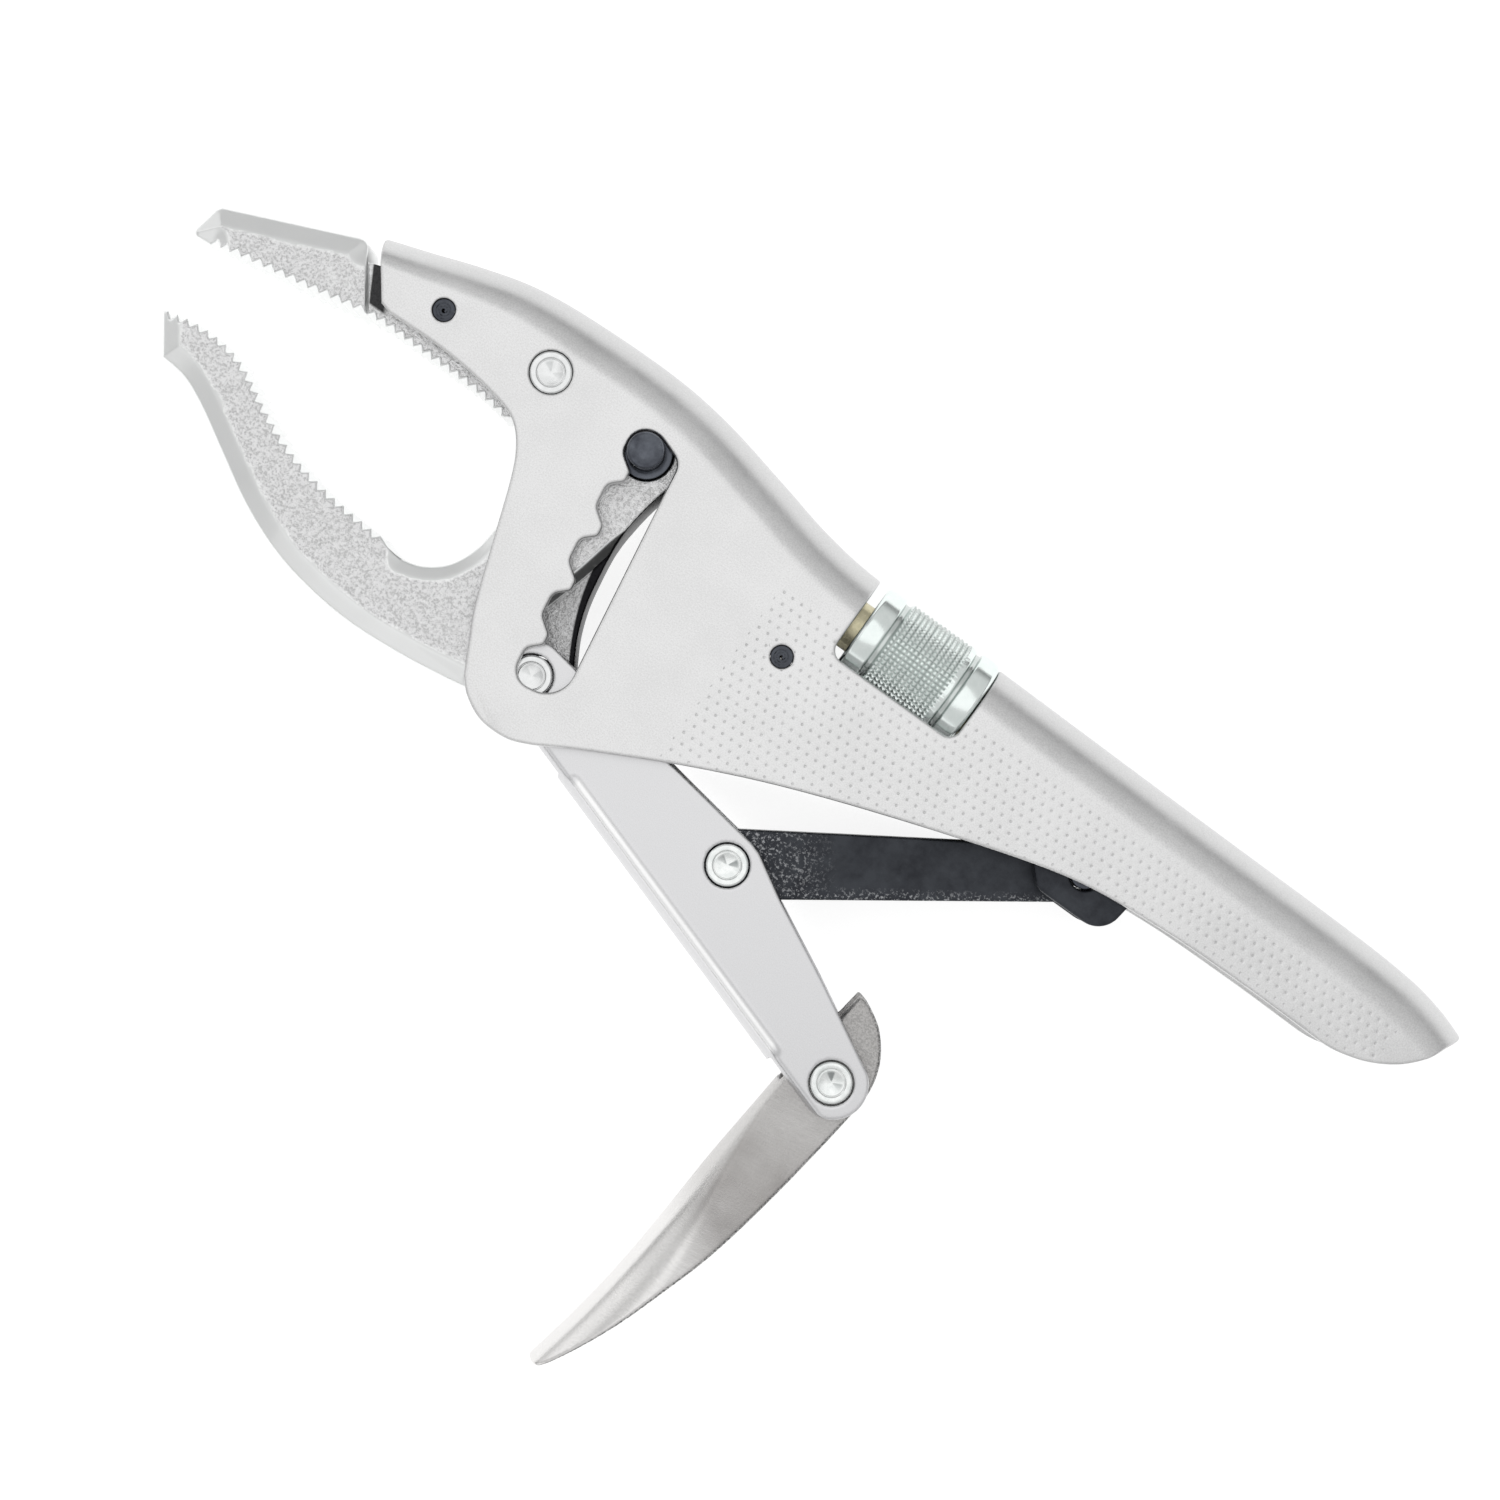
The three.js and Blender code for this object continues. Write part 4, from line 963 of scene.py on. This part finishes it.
def pivot_pin():
    block = Block((-69, -4, 0), (-59, 6.5, 21.2), cell(0.15))
    flat = LIP_OFFSET + 0.45
    neck = [in_slot(-s, max(w, flat)) for w, s in arc((0, 0), 3.35, 98, -98)]
    ends = meet(block.outline(neck), block.slab(MIDDLE + 0.25), 0.2)
    ends = np.maximum(ends, 7.2 - np.abs(block.z))
    shank = meet(block.hole(JAW_PIVOT, 3.0), block.slab(8), 0.2)
    below = np.maximum(np.minimum(ends, shank), 0.25 - MIDDLE - block.z)
    pin = block.mesh("pivot_core", below, 40_000)
    finish_piece(pin, "pivot_pin", PIN_BLACK)
    top = 2 * MIDDLE + 0.2
    dome = [(0, top + 2.0), (0.45, top + 2.08)] + [
        (3.5 * math.sin(t), top + 0.7 + 1.45 * math.cos(t)) for t in np.linspace(0.1, 1.5, 16)
    ] + [(3.5, top + 0.55), (3.35, top + 0.1), (3.1, top), (0, top)]
    button = lathe("pivot_button", dome[::-1], (*JAW_PIVOT, 0))
    finish_piece(button, "pivot_pin", BUTTON)


def washers():
    for node, low in (("rear_pivot_washer", MIDDLE - 7.2), ("front_pivot_washer", MIDDLE + 5.6)):
        ring = [(3.3, low), (4.9, low), (4.9, low + 1.6), (3.3, low + 1.6), (3.3, low)]
        piece = lathe(node + "_turned", softened(ring, 0.2), (*JAW_PIVOT, 0))
        finish_piece(piece, node, BUTTON)


def hidden_rings():
    sleeve = [(3.3, -5), (4.5, -5), (4.5, 5), (3.3, 5), (3.3, -5)]
    finish_piece(lathe("sleeve_turned", softened(sleeve, 0.2), (*JAW_PIVOT, MIDDLE)),
                 "pivot_sleeve", BRIGHT)
    bush = [(2.9, -4), (3.9, -4), (3.9, 4), (2.9, 4), (2.9, -4)]
    finish_piece(lathe("bush_turned", softened(bush, 0.2), (*YOKE_PIVOT, MIDDLE)),
                 "yoke_bush", BRIGHT)
    h = YOKE_HALF
    pin = [(0, -h), (1.6, -h), (2.6, 0.5 - h), (2.6, h - 0.5), (1.6, h), (0, h)]
    finish_piece(lathe("yoke_pin_turned", softened(pin, 0.2), (*YOKE_PIVOT, MIDDLE)),
                 "yoke_pin", BUTTON)


# ---- adjusting nut and screw ----------------------------------------------------------------
def triangle(value):
    """From 0 at whole numbers to 1 halfway between."""
    return 1 - np.abs(2 * np.mod(value, 1) - 1)


def adjusting_nut():
    R, bore = NUT_RADIUS, SCREW_RADIUS + GAP
    left, right, pitch = -6.7, 6.8, 1.0
    around = 62
    rows = 13 * 8
    collar = [(bore, -12.5), (bore + 1.2, -12.5), (R - 0.6, -12.5), (R, -11.9), (R, -8.3),
              (R - 0.9, -8), (R - 0.9, -7.2), (R - 0.1, left)]
    knurl = [(R - 0.1, left + (right - left) * (i + 1) / rows) for i in range(rows - 1)]
    tail = [(R - 0.1, right), (R - 0.1, 7.9), (R - 0.9, 8.2), (R - 0.9, 9), (R, 9.3),
            (R, 12.8), (R - 0.6, 13.4), (bore + 1.2, 13.4), (bore, 13.4), (bore, -12.5)]

    def relief(x, turn):
        held = (x > left) & (x < right)
        lines = np.minimum(triangle(x / pitch), triangle(turn / (2 * math.pi) * around))
        return np.where(held, -0.42 * (1 - np.clip(lines * 1.5, 0, 1)), 0)

    profile = [*softened(collar, 0.25), *knurl, *softened(tail, 0.25)]
    piece = lathe("knurled_nut", profile, (0, SCREW_AXIS_Y, MIDDLE), "X", around * 8, relief)
    finish_piece(piece, "adjusting_nut", ZINC)


def adjusting_screw():
    tail, R = SCREW_TAIL_RADIUS, SCREW_RADIUS
    step = THREAD_PITCH / 8
    threaded = [(R, x) for x in np.arange(-33.2, 37.2, step)]
    profile = [(0, -34), (R - 0.9, -34), *threaded, (R - 0.8, 38), (tail, 38.3), (tail, 55.9),
               (tail - 0.6, 56.5), (0, 56.5)]

    def relief(x, turn):
        held = (x > -33.3) & (x < 37.3) & ((x < -17) | (x > -12) & (x < 14) | (x > 16))
        return np.where(held, -0.85 * triangle(x / THREAD_PITCH - turn / (2 * math.pi)), 0)

    piece = lathe("threaded_screw", profile, (0, SCREW_AXIS_Y, MIDDLE), "X", 64, relief)
    finish_piece(piece, "adjusting_screw", YELLOW_ZINC)


# ---- spring ---------------------------------------------------------------------------------
def opening_spring():
    start, end = Vector((*REAR_COIL_PIN, MIDDLE)), Vector((*SPRING_LUG, MIDDLE))
    along = (end - start).normalized()
    side = Vector((-along.y, along.x, 0))
    up = Vector((0, 0, 1))
    wire_radius, coil_radius = 0.45, 2.1
    length = (end - start).length
    first, last = 7.0, length - 7.0
    turns = round((last - first) / (2 * wire_radius + 0.04))
    loop = [start + 2.95 * (math.cos(t) * along + math.sin(t) * side)
            for t in np.radians(np.arange(60, 345, 12))]
    lead_in = [start + along * a + side * b for a, b in ((3.6, -0.3), (4.8, 0.4), (6, 1.4))]
    coil = []
    for t in np.linspace(0, turns, turns * 20 + 1):
        a = 2 * math.pi * t
        spot = start + along * (first + (last - first) * t / turns)
        coil.append(spot + coil_radius * (math.cos(a) * side + math.sin(a) * up))
    lead_out = [start + along * (last + a) + side * b
                for a, b in ((0.9, 1.5), (2.2, 0.5), (3.4, 0), (4.4, 0.2))]
    hook = [end + 1.7 * (math.cos(t) * along + math.sin(t) * up)
            for t in np.radians(np.arange(150, -120, -15))]
    piece = wire("tension_spring", [*loop, *lead_in, *coil, *lead_out, *hook], wire_radius)
    finish_piece(piece, "opening_spring", SPRING_WIRE)


body_frame()
upper_jaw()
lower_jaw()
lever()
toggle_link()
screw_yoke()
screw_guide()
release_lever()
rivet("upper_jaw_rivet", UPPER_JAW_RIVET, BODY_HALF - 0.15, flush=True)
rivet("link_rivet", LEVER_LINK_PIVOT, LEVER_HALF, 3.2, 5.4)
rivet("jaw_lever_rivet", JAW_LEVER_PIVOT, LEVER_HALF, 2.5, 5.4, flush=True)
rivet("release_lever_rivet", RELEASE_PIVOT, LEVER_HALF, 3.4, 5.4)
coil_pin("front_coil_pin", FRONT_COIL_PIN)
coil_pin("rear_coil_pin", REAR_COIL_PIN)
pivot_pin()
washers()
hidden_rings()
adjusting_nut()
adjusting_screw()
opening_spring()

# ---- stage ----------------------------------------------------------------------------------
VIEW_WIDTH = 0.285
VIEW_DISTANCE = 0.45
VIEW_TURN = math.radians(35.7)
VIEW_CENTRE = (0.00074, 0.03429, MIDDLE * MM)


def camera():
    """Looks straight down on the tool, turned so that the handle runs to the lower right."""
    made = bpy.data.cameras.new("camera")
    made.sensor_width = 36
    made.lens = 36 * VIEW_DISTANCE / VIEW_WIDTH
    made.clip_start = 0.01
    holder = bpy.data.objects.new("camera", made)
    holder.location = Vector(VIEW_CENTRE) + Vector((0, 0, VIEW_DISTANCE))
    holder.rotation_euler = (0, 0, VIEW_TURN)
    bpy.context.scene.collection.objects.link(holder)
    bpy.context.scene.camera = holder


def area_light(name, size, place, power):
    """A soft light that faces the tool."""
    made = bpy.data.lights.new(name, "AREA")
    made.shape = "RECTANGLE"
    made.size, made.size_y = size
    made.energy = power
    holder = bpy.data.objects.new(name, made)
    holder.location = place
    aim = Vector((0, 0.03, 0)) - Vector(place)
    holder.rotation_euler = aim.to_track_quat("-Z", "Y").to_euler()
    bpy.context.scene.collection.objects.link(holder)


def floor():
    """A plain pale sheet under the tool that glows a little, so that shadows stay faint."""
    made = bpy.data.meshes.new("floor")
    reach, level = 6.0, -0.0004
    corners = [(-reach, -reach, level), (reach, -reach, level), (reach, reach, level),
               (-reach, reach, level)]
    made.from_pydata(corners, [], [(0, 1, 2, 3)])
    sheet = bpy.data.objects.new("floor", made)
    bpy.context.scene.collection.objects.link(sheet)
    s = Shader("floor_white", 0.8, metallic=0)
    s.colour(s.mix(s.noise(300, detail=2), rgb(0.34, 0.34, 0.34), rgb(0.36, 0.36, 0.36)))
    s.surface.inputs["Emission Color"].default_value = rgb(1, 1, 1)
    s.surface.inputs["Emission Strength"].default_value = 0.84
    made.materials.append(s.material)


def world():
    """A bright overhead softbox in a dim room: light falls off from straight up to level."""
    made = bpy.data.worlds.new("studio")
    made.use_nodes = True
    tree = made.node_tree
    place = tree.nodes.new("ShaderNodeTexCoord").outputs["Generated"]
    split = tree.nodes.new("ShaderNodeSeparateXYZ")
    tree.links.new(place, split.inputs[0])
    fall = tree.nodes.new("ShaderNodeValToRGB")
    tree.links.new(split.outputs["Z"], fall.inputs[0])
    fall.color_ramp.interpolation = "EASE"
    stops = fall.color_ramp.elements
    stops[0].position, stops[0].color = 0.02, rgb(0.3, 0.3, 0.3)
    stops[1].position, stops[1].color = 0.4, rgb(1, 1, 1)
    tree.links.new(fall.outputs[0], tree.nodes["Background"].inputs[0])
    tree.nodes["Background"].inputs[1].default_value = 0.66
    bpy.context.scene.world = made


camera()
floor()
world()
area_light("overhead", (0.9, 0.9), (-0.1, 0.15, 1.1), 1.05)
area_light("front_side", (0.9, 0.4), (-0.2, -0.9, 0.5), 0.4)
area_light("left_side", (0.4, 0.9), (-0.9, 0, 0.45), 0.5)
bpy.context.scene.view_settings.view_transform = "Standard"
